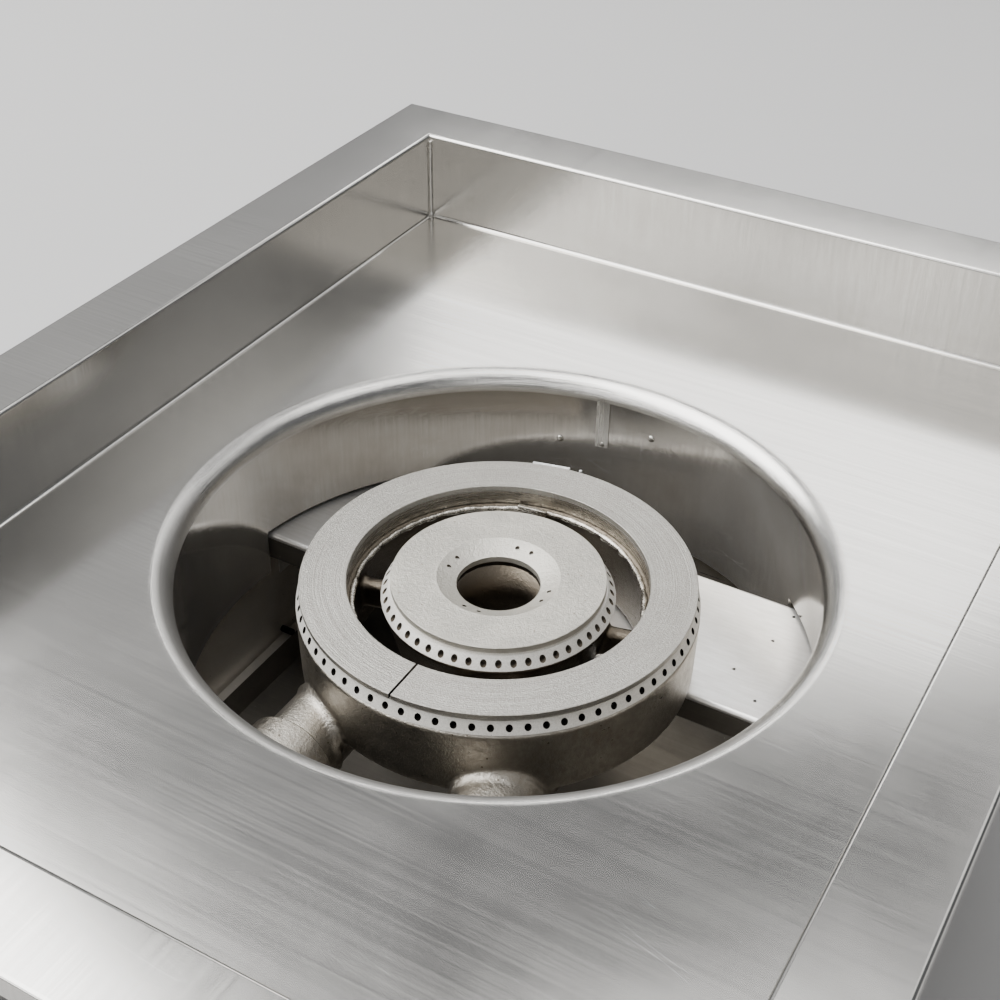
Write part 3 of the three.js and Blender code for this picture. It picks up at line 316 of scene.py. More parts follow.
def mathNode(tree, operation, first, second=0.5):
    return newNode(tree, "ShaderNodeMath", 0, {0: first, 1: second}, operation=operation)


def rangeNode(tree, value, low, high, newLow=0.0, newHigh=1.0):
    return newNode(tree, "ShaderNodeMapRange", "Result", {
        "Value": value, "From Min": low, "From Max": high, "To Min": newLow, "To Max": newHigh})


def noiseNode(tree, vector, **entries):
    return newNode(tree, "ShaderNodeTexNoise", "Fac", {"Vector": vector, **entries})


def timesNode(tree, first, second):
    return newNode(tree, "ShaderNodeVectorMath", 0, {0: first, 1: second}, operation="MULTIPLY")


def radiusNode(tree, vector):
    # the distance from the Z axis
    flat = timesNode(tree, vector, (1, 1, 0))
    return newNode(tree, "ShaderNodeVectorMath", "Value", {0: flat}, operation="LENGTH")


def partsOf(tree, vector):
    return newNode(tree, "ShaderNodeSeparateXYZ", 0, {0: vector}).node.outputs


def blendVectors(tree, factor, first, second):
    return newNode(tree, "ShaderNodeMix", 1, {0: factor, 4: first, 5: second}, data_type="VECTOR")


def blendColours(tree, factor, first, second):
    return newNode(tree, "ShaderNodeMix", 2, {0: factor, 6: first, 7: second}, data_type="RGBA")


def makeGrain():
    # fine lines, stretched along one way
    group, entry, leave = newGroup("grainLines", {"Vector": (0, 0, 0), "Stretch": (20, 2000, 20)})
    lines = noiseNode(group, timesNode(group, entry["Vector"], entry["Stretch"]), Scale=1.0,
                      Detail=3.0, Roughness=0.6)
    plug(group, leave, "Value", rangeNode(group, lines, 0.3, 0.7))
    return group


def makeRingMarks():
    # turning marks round the Z axis
    group, entry, leave = newGroup("turningMarks", {
        "Vector": (0, 0, 0), "Fineness": 2500.0, "Waver": 6.0})
    parts = partsOf(group, entry["Vector"])
    outAndUp = mathNode(group, "ADD", radiusNode(group, entry["Vector"]), parts["Z"])
    packed = newNode(group, "ShaderNodeCombineXYZ", 0, {
        "X": mathNode(group, "MULTIPLY", outAndUp, entry["Fineness"]),
        "Y": mathNode(group, "MULTIPLY", parts["X"], entry["Waver"]),
        "Z": mathNode(group, "MULTIPLY", parts["Y"], entry["Waver"])})
    marks = noiseNode(group, packed, Scale=1.0, Detail=4.0)
    plug(group, leave, "Value", rangeNode(group, marks, 0.3, 0.7))
    return group


def makeMottle():
    # broad soft patches
    group, entry, leave = newGroup("mottle", {
        "Vector": (0, 0, 0), "Scale": 20.0, "Low": 0.3, "High": 0.7})
    patches = noiseNode(group, entry["Vector"], Scale=entry["Scale"], Detail=6.0, Roughness=0.6,
                        Distortion=0.4)
    plug(group, leave, "Value", rangeNode(group, patches, entry["Low"], entry["High"]))
    return group


def makePits():
    # small round marks: 1 in a mark, 0 between them
    group, entry, leave = newGroup("pits", {
        "Vector": (0, 0, 0), "Scale": 200.0, "Size": 0.12, "Share": 0.3})
    cells = newNode(group, "ShaderNodeTexVoronoi", "Distance", {
        "Vector": entry["Vector"], "Scale": entry["Scale"]})
    tone = newNode(group, "ShaderNodeSeparateColor", "Red", {0: cells.node.outputs["Color"]})
    inside = mathNode(group, "LESS_THAN", cells, entry["Size"])
    chosen = mathNode(group, "LESS_THAN", tone, entry["Share"])
    plug(group, leave, "Value", mathNode(group, "MULTIPLY", inside, chosen))
    return group


def makeScratches():
    # sparse long hairlines that run nearly along X: 1 on a line
    group, entry, leave = newGroup("scratches", {
        "Vector": (0, 0, 0), "Stretch": (4, 90, 90), "Turn": (0, 0, 0.2), "Width": 0.004})
    turned = newNode(group, "ShaderNodeMapping", 0, {
        "Vector": entry["Vector"], "Rotation": entry["Turn"]})
    level = noiseNode(group, timesNode(group, turned, entry["Stretch"]), Scale=1.0, Detail=0.0)
    gap = mathNode(group, "ABSOLUTE", mathNode(group, "SUBTRACT", level, 0.5))
    line = mathNode(group, "LESS_THAN", gap, entry["Width"])
    shown = rangeNode(group, noiseNode(group, entry["Vector"], Scale=9.0), 0.56, 0.66)
    plug(group, leave, "Value", mathNode(group, "MULTIPLY", line, shown))
    return group


def makeWays():
    # the way the grain runs: along X on the floor, along Y on the end flanges, upright on walls
    group, entry, leave = newGroup("grainWays", {
        "Vector": (0, 0, 0), "Normal": (0, 0, 1), "End": 0.335}, ("Stretch", "Wall"))
    upright = mathNode(group, "ABSOLUTE", partsOf(group, entry["Normal"])["Z"])
    wall = mathNode(group, "LESS_THAN", upright, 0.6)
    along = mathNode(group, "ABSOLUTE", partsOf(group, entry["Vector"])["Y"])
    flange = mathNode(group, "GREATER_THAN", along, entry["End"])
    flat = blendVectors(group, flange, (7, 620, 400), (620, 7, 400))
    plug(group, leave, "Stretch", blendVectors(group, wall, flat, (560, 560, 26)))
    plug(group, leave, "Wall", wall)
    return group


def makeReach():
    # 1 inside a radius about the Z axis, 0 beyond it, soft between
    group, entry, leave = newGroup("insideRadius", {
        "Vector": (0, 0, 0), "Inside": 0.19, "Outside": 0.194})
    radius = radiusNode(group, entry["Vector"])
    plug(group, leave, "Value", rangeNode(group, radius, entry["Outside"], entry["Inside"]))
    return group


grainLines = makeGrain()
turningMarks = makeRingMarks()
mottle = makeMottle()
pits = makePits()
scratches = makeScratches()
grainWays = makeWays()
insideRadius = makeReach()


def newMaterial(name, metallic=1.0):
    made = bpy.data.materials.new(name)
    made.use_nodes = True
    tree = made.node_tree
    shader = tree.nodes["Principled BSDF"]
    plug(tree, shader, "Metallic", metallic)
    return made, tree, shader, tree.nodes.new("ShaderNodeTexCoord").outputs


def useGroup(tree, group, place, **values):
    return newNode(tree, "ShaderNodeGroup", 0, {"Vector": place["Object"], **values},
                   node_tree=group)


def layColours(tree, tone, *layers):
    # each layer is a mask, its strength and its colour
    for mask, strength, colour in layers:
        tone = blendColours(tree, mathNode(tree, "MULTIPLY", mask, strength), tone, colour)
    return tone


def addBump(tree, shader, mask, height, distance, earlier=None):
    entries = {"Strength": height, "Distance": distance, "Height": mask}
    if earlier is not None:
        entries["Normal"] = earlier
    normal = newNode(tree, "ShaderNodeBump", "Normal", entries)
    plug(tree, shader, "Normal", normal)
    return normal


def sheetMaterial(name, look):
    # folded sheet: grain, soft patches, hairlines, dust and small marks
    made, tree, shader, place = newMaterial(name, look["metal"])
    if "end" in look:
        stretch = useGroup(tree, grainWays, place, Normal=place["Normal"], End=look["end"])
    else:
        stretch = look["grain"]
    grain = useGroup(tree, grainLines, place, Stretch=stretch)
    patches = useGroup(tree, mottle, place, Scale=look["patchScale"])
    lines = useGroup(tree, scratches, place, Turn=(0, 0, 0.16), Width=look["scratchWidth"])
    marks = useGroup(tree, pits, place, Scale=look["pitScale"], Size=0.06, Share=look["pitShare"])
    dust = useGroup(tree, pits, place, Scale=look["dustScale"], Size=0.045, Share=0.35)
    tone = layColours(
        tree, blendColours(tree, patches, look["dark"], look["light"]),
        (grain, look["grainTone"], look["deep"]), (lines, look["scratchTone"], look["scratch"]),
        (marks, 1.0, look["pit"]), (dust, look["dustTone"], look["dust"]))
    rough = mathNode(tree, "ADD", rangeNode(tree, grain, 0, 1, look["smooth"], look["rough"]),
                     rangeNode(tree, patches, 0, 1, -0.02, 0.03))
    if "end" in look:
        wall = stretch.node.outputs["Wall"]
        rough = mathNode(tree, "ADD", rough, mathNode(tree, "MULTIPLY", wall, look["wallRough"]))
    bump = addBump(tree, shader, grain, look["grainHeight"], 0.0001)
    if "polished" in look:
        # the rolled edge inside this radius is polished, with marks running round it
        roll = useGroup(tree, insideRadius, place, Inside=look["rollInside"],
                        Outside=look["rollOutside"])
        rounds = useGroup(tree, turningMarks, place, Fineness=2600.0, Waver=20.0)
        bright = rangeNode(tree, rounds, 0, 1, look["polished"], look["polished"] + 0.06)
        rough = newNode(tree, "ShaderNodeMix", 0, {0: roll, 2: rough, 3: bright})
        bump = addBump(tree, shader, mathNode(tree, "MULTIPLY", rounds, roll),
                       look["polishHeight"], 0.0001, bump)
        # the lower side of its near half gets painted shade: a dark colour, and more roughness
        near = rangeNode(tree, partsOf(tree, place["Object"])["Y"], look["rollShadeStart"],
                         look["rollShadeEnd"])
        rim = useGroup(tree, insideRadius, place, Inside=look["rollShadeInside"],
                       Outside=look["rollShadeOutside"])
        rollShade = mathNode(tree, "MULTIPLY", near, rim)
        tone = blendColours(tree, rollShade, tone, look["rollShade"])
        rough = mathNode(tree, "ADD", rough, mathNode(tree, "MULTIPLY", rollShade, look["rollShadeRough"]))
    plug(tree, shader, "Base Color", tone)
    plug(tree, shader, "Roughness", rough)
    if look["wave"]:
        wave = useGroup(tree, mottle, place, Scale=look["waveScale"], Low=0.2, High=0.8)
        addBump(tree, shader, wave, look["wave"], 0.002, bump)
    return made


def castMaterial(name, look):
    # rough cast metal: broad and fine patches, pits, and a dark painted shade inside a radius, for the
    # hollow inside the ring
    made, tree, shader, place = newMaterial(name)
    broad = useGroup(tree, mottle, place, Scale=look["broadScale"], Low=0.35, High=0.65)
    fine = useGroup(tree, mottle, place, Scale=look["fineScale"])
    grit = useGroup(tree, mottle, place, Scale=look["gritScale"])
    holes = useGroup(tree, pits, place, Scale=look["pitScale"], Size=0.25, Share=look["pitShare"])
    hollowShade = useGroup(tree, insideRadius, place, Inside=look["hollowShadeInside"],
                     Outside=look["hollowShadeOutside"])
    plug(tree, shader, "Base Color", layColours(
        tree, blendColours(tree, broad, look["dark"], look["light"]),
        (fine, look["brownShare"], look["brown"]), (holes, 1.0, look["pit"]),
        (hollowShade, 1.0, look["hollowShade"])))
    plug(tree, shader, "Roughness", rangeNode(tree, fine, 0, 1, look["smooth"], look["rough"]))
    bump = addBump(tree, shader, grit, look["gritHeight"], 0.0004)
    addBump(tree, shader, fine, look["fineHeight"], 0.0012, bump)
    return made


def turnedMaterial(name, look):
    # machined metal: marks round the Z axis, patches, sand and specks
    made, tree, shader, place = newMaterial(name, look["metal"])
    marks = useGroup(tree, turningMarks, place, Fineness=look["fineness"], Waver=look["waver"])
    patches = useGroup(tree, mottle, place, Scale=look["patchScale"])
    sand = useGroup(tree, mottle, place, Scale=look["sandScale"], Low=0.35, High=0.65)
    specks = useGroup(tree, pits, place, Scale=look["pitScale"], Size=0.16, Share=look["pitShare"])
    plug(tree, shader, "Base Color", layColours(
        tree, blendColours(tree, patches, look["dark"], look["light"]),
        (marks, look["markTone"], look["deep"]), (sand, look["sandTone"], look["pit"]),
        (specks, 1.0, look["pit"])))
    plug(tree, shader, "Roughness", rangeNode(tree, marks, 0, 1, look["smooth"], look["rough"]))
    bump = addBump(tree, shader, marks, look["markHeight"], 0.0001)
    addBump(tree, shader, sand, look["sandTone"], 0.0003, bump)
    return made


def plasticMaterial(name, look):
    made, tree, shader, place = newMaterial(name, 0.0)
    fine = useGroup(tree, mottle, place, Scale=look["grainScale"])
    broad = useGroup(tree, mottle, place, Scale=look["patchScale"])
    plug(tree, shader, "Base Color", blendColours(tree, broad, look["dark"], look["light"]))
    plug(tree, shader, "Roughness", rangeNode(tree, broad, 0, 1, look["smooth"], look["rough"]))
    addBump(tree, shader, fine, look["grainHeight"], 0.0002)
    return made


panelSteel = {
    "patchScale": 7.0, "pitScale": 260.0, "pitShare": 0.02, "dustScale": 95.0,
    "grain": (14.0, 1300.0, 900.0), "grainTone": 0.34, "grainHeight": 0.02,
    "deep": (0.44, 0.425, 0.4), "dark": (0.585, 0.57, 0.54), "light": (0.635, 0.62, 0.59),
    "scratch": (0.78, 0.77, 0.75), "scratchWidth": 0.0026, "scratchTone": 0.6,
    "pit": (0.4, 0.38, 0.35), "dust": (0.9, 0.9, 0.88), "dustTone": 0.5, "smooth": 0.16,
    "rough": 0.205, "metal": 1.0, "wave": 0.0,
}
steel = {
    **panelSteel, "end": 0.3355, "wallRough": 0.015, "polished": 0.2, "polishHeight": 0.5,
    # the dark colour and the mask below, for the roll's near lower side, are painted shade
    "rollInside": 0.1905, "rollOutside": 0.1945, "rollShade": (0.2, 0.195, 0.185), "rollShadeRough": 0.35,
    "rollShadeStart": -0.03, "rollShadeEnd": -0.11, "rollShadeInside": 0.1868, "rollShadeOutside": 0.1915,
    "wave": 0.015, "waveScale": 5.0,
}
boxSteel = {
    **panelSteel, "grain": (7.0, 560.0, 560.0), "deep": (0.4, 0.36, 0.31),
    "dark": (0.48, 0.44, 0.38), "light": (0.6, 0.57, 0.52), "smooth": 0.27, "rough": 0.33,
    "patchScale": 14.0, "metal": 0.65, "grainTone": 0.14, "grainHeight": 0.01, "scratchTone": 0.25,
}
# a dark sheet: painted shade, for the drip tray and the channel's legs, which lie in shade under the
# burner
paintedShadeLook = {
    **boxSteel, "deep": (0.09, 0.08, 0.068), "dark": (0.11, 0.1, 0.085),
    "light": (0.2, 0.185, 0.16), "dust": (0.4, 0.38, 0.34), "smooth": 0.4, "rough": 0.5,
    "scratch": (0.4, 0.38, 0.34), "metal": 0.7,
}
collarSteel = {
    **panelSteel, "grain": (500.0, 500.0, 30.0), "deep": (0.36, 0.33, 0.29),
    "dark": (0.42, 0.39, 0.35), "light": (0.56, 0.54, 0.5), "smooth": 0.1, "rough": 0.17,
    "patchScale": 16.0, "grainHeight": 0.04, "wave": 0.12, "waveScale": 14.0, "dustTone": 0.3,
    "metal": 0.82,
}
# a lighter sheet for the lap: painted reflection, the bright upright streak on the collar
lapReflectionSteel = {
    **collarSteel, "deep": (0.46, 0.44, 0.4), "dark": (0.54, 0.52, 0.48),
    "light": (0.68, 0.66, 0.62), "smooth": 0.2, "rough": 0.28,
}
channelSteel = {
    **panelSteel, "grain": (60.0, 420.0, 420.0), "deep": (0.5, 0.48, 0.44),
    "dark": (0.74, 0.725, 0.7), "light": (0.88, 0.87, 0.85), "smooth": 0.3, "rough": 0.38,
    "patchScale": 20.0, "pitShare": 0.05, "metal": 0.85,
}
plated = {
    **panelSteel, "grain": (300.0, 300.0, 300.0), "patchScale": 40.0, "deep": (0.4, 0.4, 0.39),
    "dark": (0.5, 0.5, 0.49), "light": (0.64, 0.64, 0.625), "smooth": 0.24, "rough": 0.36,
    "grainHeight": 0.05,
}
brassLook = {
    **panelSteel, "grain": (500.0, 500.0, 500.0), "patchScale": 50.0, "deep": (0.45, 0.3, 0.1),
    "dark": (0.55, 0.38, 0.15), "light": (0.7, 0.52, 0.24), "scratch": (0.85, 0.7, 0.4),
    "pit": (0.3, 0.2, 0.08), "dust": (0.8, 0.65, 0.4), "smooth": 0.25, "rough": 0.4,
    "grainHeight": 0.06,
}
castLook = {
    "broadScale": 24.0, "fineScale": 240.0, "gritScale": 800.0, "pitScale": 420.0,
    "pitShare": 0.02, "dark": (0.29, 0.27, 0.235), "light": (0.46, 0.435, 0.39),
    "brown": (0.22, 0.19, 0.15), "brownShare": 0.5, "pit": (0.12, 0.1, 0.08), "smooth": 0.27,
    # the dark colour inside the radius below is painted shade, in the hollow inside the ring
    "rough": 0.42, "gritHeight": 0.4, "fineHeight": 0.16, "hollowShade": (0.13, 0.11, 0.085),
    "hollowShadeInside": 0.088, "hollowShadeOutside": 0.104,
}
blastLook = {
    **castLook, "broadScale": 30.0, "fineScale": 420.0, "gritScale": 1500.0, "pitShare": 0.03,
    "dark": (0.37, 0.355, 0.32), "light": (0.5, 0.48, 0.43), "brown": (0.5, 0.47, 0.41),
    "brownShare": 0.3, "pit": (0.3, 0.27, 0.22), "smooth": 0.42, "rough": 0.55,
    "gritHeight": 0.5, "fineHeight": 0.25, "hollowShade": (0.5, 0.48, 0.43), "hollowShadeInside": 0.03,
    "hollowShadeOutside": 0.04,
}
flashLook = {
    **castLook, "dark": (0.3, 0.28, 0.24), "light": (0.7, 0.67, 0.61), "smooth": 0.22,
    "rough": 0.34, "gritHeight": 0.3, "hollowShade": (0.45, 0.42, 0.36), "hollowShadeInside": 0.05,
    "hollowShadeOutside": 0.06,
}
weldLook = {
    **castLook, "dark": (0.6, 0.58, 0.54), "light": (0.82, 0.8, 0.76), "brown": (0.44, 0.4, 0.34),
    "brownShare": 0.3, "smooth": 0.16, "rough": 0.28, "gritHeight": 0.2,
}
# near black: painted shade, inside the ports, in the ring cap's slit and the cup cap's holes, and on
# the stop pins
shadeBlackLook = {
    **castLook, "dark": (0.008, 0.007, 0.006), "light": (0.02, 0.018, 0.016),
    "brown": (0.012, 0.01, 0.008), "smooth": 0.75, "rough": 0.9,
}
capLook = {
    "fineness": 1500.0, "waver": 9.0, "patchScale": 30.0, "pitScale": 700.0, "pitShare": 0.03,
    "dark": (0.43, 0.415, 0.385), "light": (0.52, 0.505, 0.47), "deep": (0.3, 0.285, 0.255),
    "pit": (0.2, 0.185, 0.16), "markTone": 0.6, "markHeight": 1.0, "sandScale": 1300.0,
    "sandTone": 0.5, "smooth": 0.34, "rough": 0.5, "metal": 1.0,
}
bandLook = {
    **capLook, "fineness": 900.0, "dark": (0.68, 0.66, 0.61), "light": (0.8, 0.78, 0.73),
    "smooth": 0.42, "rough": 0.55, "metal": 0.45, "markHeight": 0.05, "markTone": 0.12,
    "sandTone": 0.3,
}
innerWallLook = {
    **bandLook, "metal": 1.0, "dark": (0.36, 0.33, 0.285), "light": (0.48, 0.45, 0.4),
    "smooth": 0.22, "rough": 0.32,
}
blackLook = {
    "grainScale": 1400.0, "patchScale": 60.0, "dark": (0.012, 0.012, 0.014),
    "light": (0.022, 0.022, 0.025), "smooth": 0.34, "rough": 0.46, "grainHeight": 0.25,
}
ceramicLook = {
    "grainScale": 500.0, "patchScale": 90.0, "dark": (0.62, 0.58, 0.5), "light": (0.8, 0.77, 0.7),
    "smooth": 0.12, "rough": 0.25, "grainHeight": 0.04,
}
paintLook = {
    "grainScale": 900.0, "patchScale": 120.0, "dark": (0.66, 0.66, 0.64),
    "light": (0.8, 0.8, 0.78), "smooth": 0.35, "rough": 0.5, "grainHeight": 0.08,
}
wellSteel = sheetMaterial("wellSteel", steel)
panelSheet = sheetMaterial("panelSheet", panelSteel)
boxSheet = sheetMaterial("boxSheet", boxSteel)
paintedShadeSheet = sheetMaterial("paintedShadeSheet", paintedShadeLook)
collarSheet = sheetMaterial("collarSheet", collarSteel)
lapReflectionSheet = sheetMaterial("lapReflectionSheet", lapReflectionSteel)
channelSheet = sheetMaterial("channelSheet", channelSteel)
platedSteel = sheetMaterial("platedSteel", plated)
brassMetal = sheetMaterial("brassMetal", brassLook)
castMetal = castMaterial("castMetal", castLook)
blastedMetal = castMaterial("blastedMetal", blastLook)
flashMetal = castMaterial("flashMetal", flashLook)
weldMetal = castMaterial("weldMetal", weldLook)
shadeBlackMetal = castMaterial("shadeBlackMetal", shadeBlackLook)
turnedMetal = turnedMaterial("turnedMetal", capLook)
bandMetal = turnedMaterial("bandMetal", bandLook)
innerWallMetal = turnedMaterial("innerWallMetal", innerWallLook)
blackPlastic = plasticMaterial("blackPlastic", blackLook)
whiteCeramic = plasticMaterial("whiteCeramic", ceramicLook)
whitePaint = plasticMaterial("whitePaint", paintLook)
print("materials made")

# the cooking well: rolled opening, floor, four walls and the flange, from one folded sheet
well = {
    "flange": 0.0462, "drop": 0.012, "depth": 0.066, "bend": 0.0024, "bendSteps": 4,
    "sheet": 0.0015, "opening": 0.181, "roll": 0.012, "rollSteps": 12, "around": 128,
    "lift": 0.001,  # the floor's border waits above the opening, so that the bridge knows its sides
    "beadWide": 0.0017, "beadRipple": 0.00022, "beadPitch": 0.0016, "beadFoot": 0.0026,
    "beadIn": 0.0005,
}
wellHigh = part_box("top_tray")[1]
halfX = wellHigh.x - well["flange"]
halfY = wellHigh.y - well["flange"]
floorZ = wellHigh.z - well["depth"]


def makeWell():
    bend, roll, lift, steps = well["bend"], well["roll"], well["lift"], well["bendSteps"]
    rollLine = arcPoints(well["opening"] + roll, floorZ - roll, roll, 180, 90, well["rollSteps"])
    opening = lathe("cooking_well", rollLine, well["around"], closed=False)
    deselectAll()
    bpy.ops.mesh.primitive_plane_add(size=2)
    border = newPiece("border", place=(0, 0, floorZ + lift), scale=(halfX - bend, halfY - bend, 1))
    edit(border)
    bpy.ops.mesh.delete(type="ONLY_FACE")
    bpy.ops.mesh.select_all(action="SELECT")
    bpy.ops.mesh.subdivide(number_cuts=well["around"] // 4 - 1)
    leaveEdit()
    piece = join([opening, border], "cooking_well")
    pick(piece, "EDGE", lambda a, b: min(a.z, b.z) > floorZ - tiny)
    bpy.ops.mesh.bridge_edge_loops()
    pick(piece, "VERT", lambda point: point.z > floorZ + lift / 2)
    bpy.ops.transform.translate(value=(0, 0, -lift))

    # the walls rise and the flange folds out, loop after loop
    top, flange = wellHigh.z - bend, well["flange"]
    section = [
        *arcPoints(-bend, floorZ + bend, bend, -90, 0, steps)[1:],
        *arcPoints(bend, top, bend, 180, 90, steps), *arcPoints(flange - bend, top, bend, 90, 0, steps),
        (flange, wellHigh.z - well["drop"]),
    ]
    pick(piece, "EDGE", lambda a, b: all(
        max(abs(point.x) - halfX, abs(point.y) - halfY) > -bend - tiny for point in (a, b)))
    out, height = -bend, floorZ
    for nextOut, nextHeight in section:
        bpy.ops.mesh.extrude_edges_move(TRANSFORM_OT_translate={"value": (0, 0, nextHeight - height)})
        factors = ((halfX + nextOut) / (halfX + out), (halfY + nextOut) / (halfY + out), 1)
        bpy.ops.transform.resize(value=factors, center_override=(0, 0, nextHeight))
        out, height = nextOut, nextHeight
    leaveEdit()
    cleanUp(piece)
    floorFace = min(piece.data.polygons, key=lambda face: abs(face.center.z - floorZ))
    if floorFace.normal.z < 0:
        edit(piece)
        bpy.ops.mesh.flip_normals()
        leaveEdit()
    applyModifier(piece, "SOLIDIFY", thickness=well["sheet"], offset=-1, use_even_offset=True)
    smooth(piece, 40)
    return piece


def makeCornerBead(name, x, y):
    # a rippled bead of weld that stands in a corner of the well
    wide, pitch, foot = well["beadWide"], well["beadPitch"], well["beadFoot"]
    count = int((well["depth"] - well["bend"]) / pitch)
    outline = [(0.0, 0.0), (foot, 0.0), (foot, pitch)]
    for i in range(2, count):
        outline += [(wide - well["beadRipple"], i * pitch), (wide, (i + 0.5) * pitch)]
    piece = lathe(name, outline + [(0.0, count * pitch)], 16, closed=False)
    settle(piece, (x, y, floorZ))
    smooth(piece, 60)
    return piece


finishPiece(makeWell(), "brushed_stainless", wellSteel, "top_tray")
for end, y in (("rear", halfY - well["beadIn"]), ("front", well["beadIn"] - halfY)):
    for side, x in (("left", well["beadIn"] - halfX), ("right", halfX - well["beadIn"])):
        finishPiece(makeCornerBead(end + "_" + side + "_bead", x, y), "brushed_stainless", weldMetal)
print("cooking well made")

# the collar below the opening, notched for the channel and the mixer tubes, with the lap where its two
# ends meet, in a lighter sheet that is a painted reflection, and three bright dots that are painted
# highlights, shaped as flat spots of weld (azimuth, height)
collar = {
    "inside": 0.1855, "sheet": 0.0012, "notchGap": 0.0022, "notchTop": 0.0028, "clear": 0.01,
    "tubeX": 0.057, "tubeZ": 0.122, "tubeRadius": 0.0297, "tubeFar": 0.1, "around": 192,
    "lapAzimuth": 98, "lapWide": 0.009, "lapThick": 0.0008, "lapFoot": 0.156, "lapEdge": 0.0002,
    "spot": 0.0024, "spotFlat": 0.5, "glintDots": [(106.9, 0.1571), (97.9, 0.1585), (87.3, 0.1734)],
}
collarLow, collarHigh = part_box("burner_collar")
channelLow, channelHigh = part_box("burner_channel")


def makeCollar():
    inner, outer, gap = collar["inside"], collar["inside"] + collar["sheet"], collar["notchGap"]
    piece = lathe("collar_shell", [
        (inner, collarHigh.z), (inner, collarLow.z), (outer, collarLow.z), (outer, collarHigh.z)],
        collar["around"])
    reach, low = outer + collar["clear"], collarLow.z - collar["clear"]
    cut(piece, blockAt("cutter", (-reach, channelLow.y - gap, low),
                       (reach, channelHigh.y + gap, channelHigh.z + collar["notchTop"])))
    radius, height, far = collar["tubeRadius"], collar["tubeZ"], -collar["tubeFar"]
    for x in (-collar["tubeX"], collar["tubeX"]):
        cut(piece, rodAt("cutter", (x, -reach, height), (x, far, height), radius, 48))
        cut(piece, blockAt("cutter", (x - radius, -reach, low), (x + radius, far, height)))
    smooth(piece, 40)
    return piece


finishPiece(makeCollar(), "stainless_sheet", collarSheet, "burner_collar")
half, edge = collar["lapWide"] / 2, collar["lapEdge"]
seam = blockAt("collar_lap", (-half, collar["inside"] - collar["lapThick"], collar["lapFoot"]),
               (half, collar["inside"] + edge, collarHigh.z))
settle(seam, turn=(0, 0, collar["lapAzimuth"] - 90))
softEdges(seam, edge)
# the lap's lighter sheet is a painted reflection
finishPiece(seam, "stainless_sheet", lapReflectionSheet)
# three flattened bright dots on the collar: painted highlights, in the bright weld material
glintDots = []
for azimuth, height in collar["glintDots"]:
    deselectAll()
    bpy.ops.mesh.primitive_uv_sphere_add(segments=24, ring_count=12, radius=collar["spot"])
    turn = math.radians(azimuth)
    glintDots.append(newPiece("spot", scale=(collar["spotFlat"], 1, 1), turn=(0, 0, azimuth), place=(
        collar["inside"] * math.cos(turn), collar["inside"] * math.sin(turn), height)))
glintDots = join(glintDots, "collar_glint_dots")
smooth(glintDots, 60)
finishPiece(glintDots, "stainless_sheet", weldMetal)
print("collar made")

# the burner channel: a folded hat section with small holes and a welded tab at each end
channel = {
    "sheet": 0.0012, "leg": 0.021, "lip": 0.008, "bend": 0.0032, "tabWidth": 0.074,
    "tabEdge": 0.0003, "hole": 0.0011, "holeReach": 0.005,
    "holes": [(0.1394, 0.1195), (0.1366, 0.0924), (0.1261, 0.0577), (0.1469, 0.0388)],
}


def makeChannel():
    front, rear, top, lip = channelLow.y, channelHigh.y, channelHigh.z, channel["lip"]
    left, right, foot = channelLow.x, channelHigh.x, channelHigh.z - channel["leg"]
    line = [(left, y, z) for y, z in (
        (front + lip, foot), (front, foot), (front, top), (rear, top), (rear, foot),
        (rear - lip, foot))]
    piece = foldedSheet("channel_plate", line, (right - left, 0, 0), channel["sheet"],
                        channel["bend"])
    reach = channel["holeReach"]
    for x, y in channel["holes"]:
        cut(piece, rodAt("cutter", (x, y, top - reach), (x, y, top + reach), channel["hole"], 12))
    # the legs below the bend get the dark sheet: painted shade
    giveMaterials(piece, channelSheet, paintedShadeSheet)
    paintFaces(piece, 1, lambda centre, normal: (
        abs(normal.y) > 0.9 and centre.z < top - channel["bend"]))
    smooth(piece, 40)
    return piece


def makeChannelTab(name, low, high):
    middleY, half = (channelLow.y + channelHigh.y) / 2, channel["tabWidth"] / 2
    tab = blockAt(name, (low, middleY - half, channelLow.z),
                  (high, middleY + half, channelHigh.z - channel["sheet"]))
    softEdges(tab, channel["tabEdge"])
    return tab


finishPiece(makeChannel(), "stainless_sheet", channelSheet, "burner_channel")
for side, low in (("left", channelLow.x), ("right", channelHigh.x - channel["sheet"])):
    tab = makeChannelTab(side + "_channel_tab", low, low + channel["sheet"])
    finishPiece(tab, "stainless_sheet", channelSheet)
print("channel made")

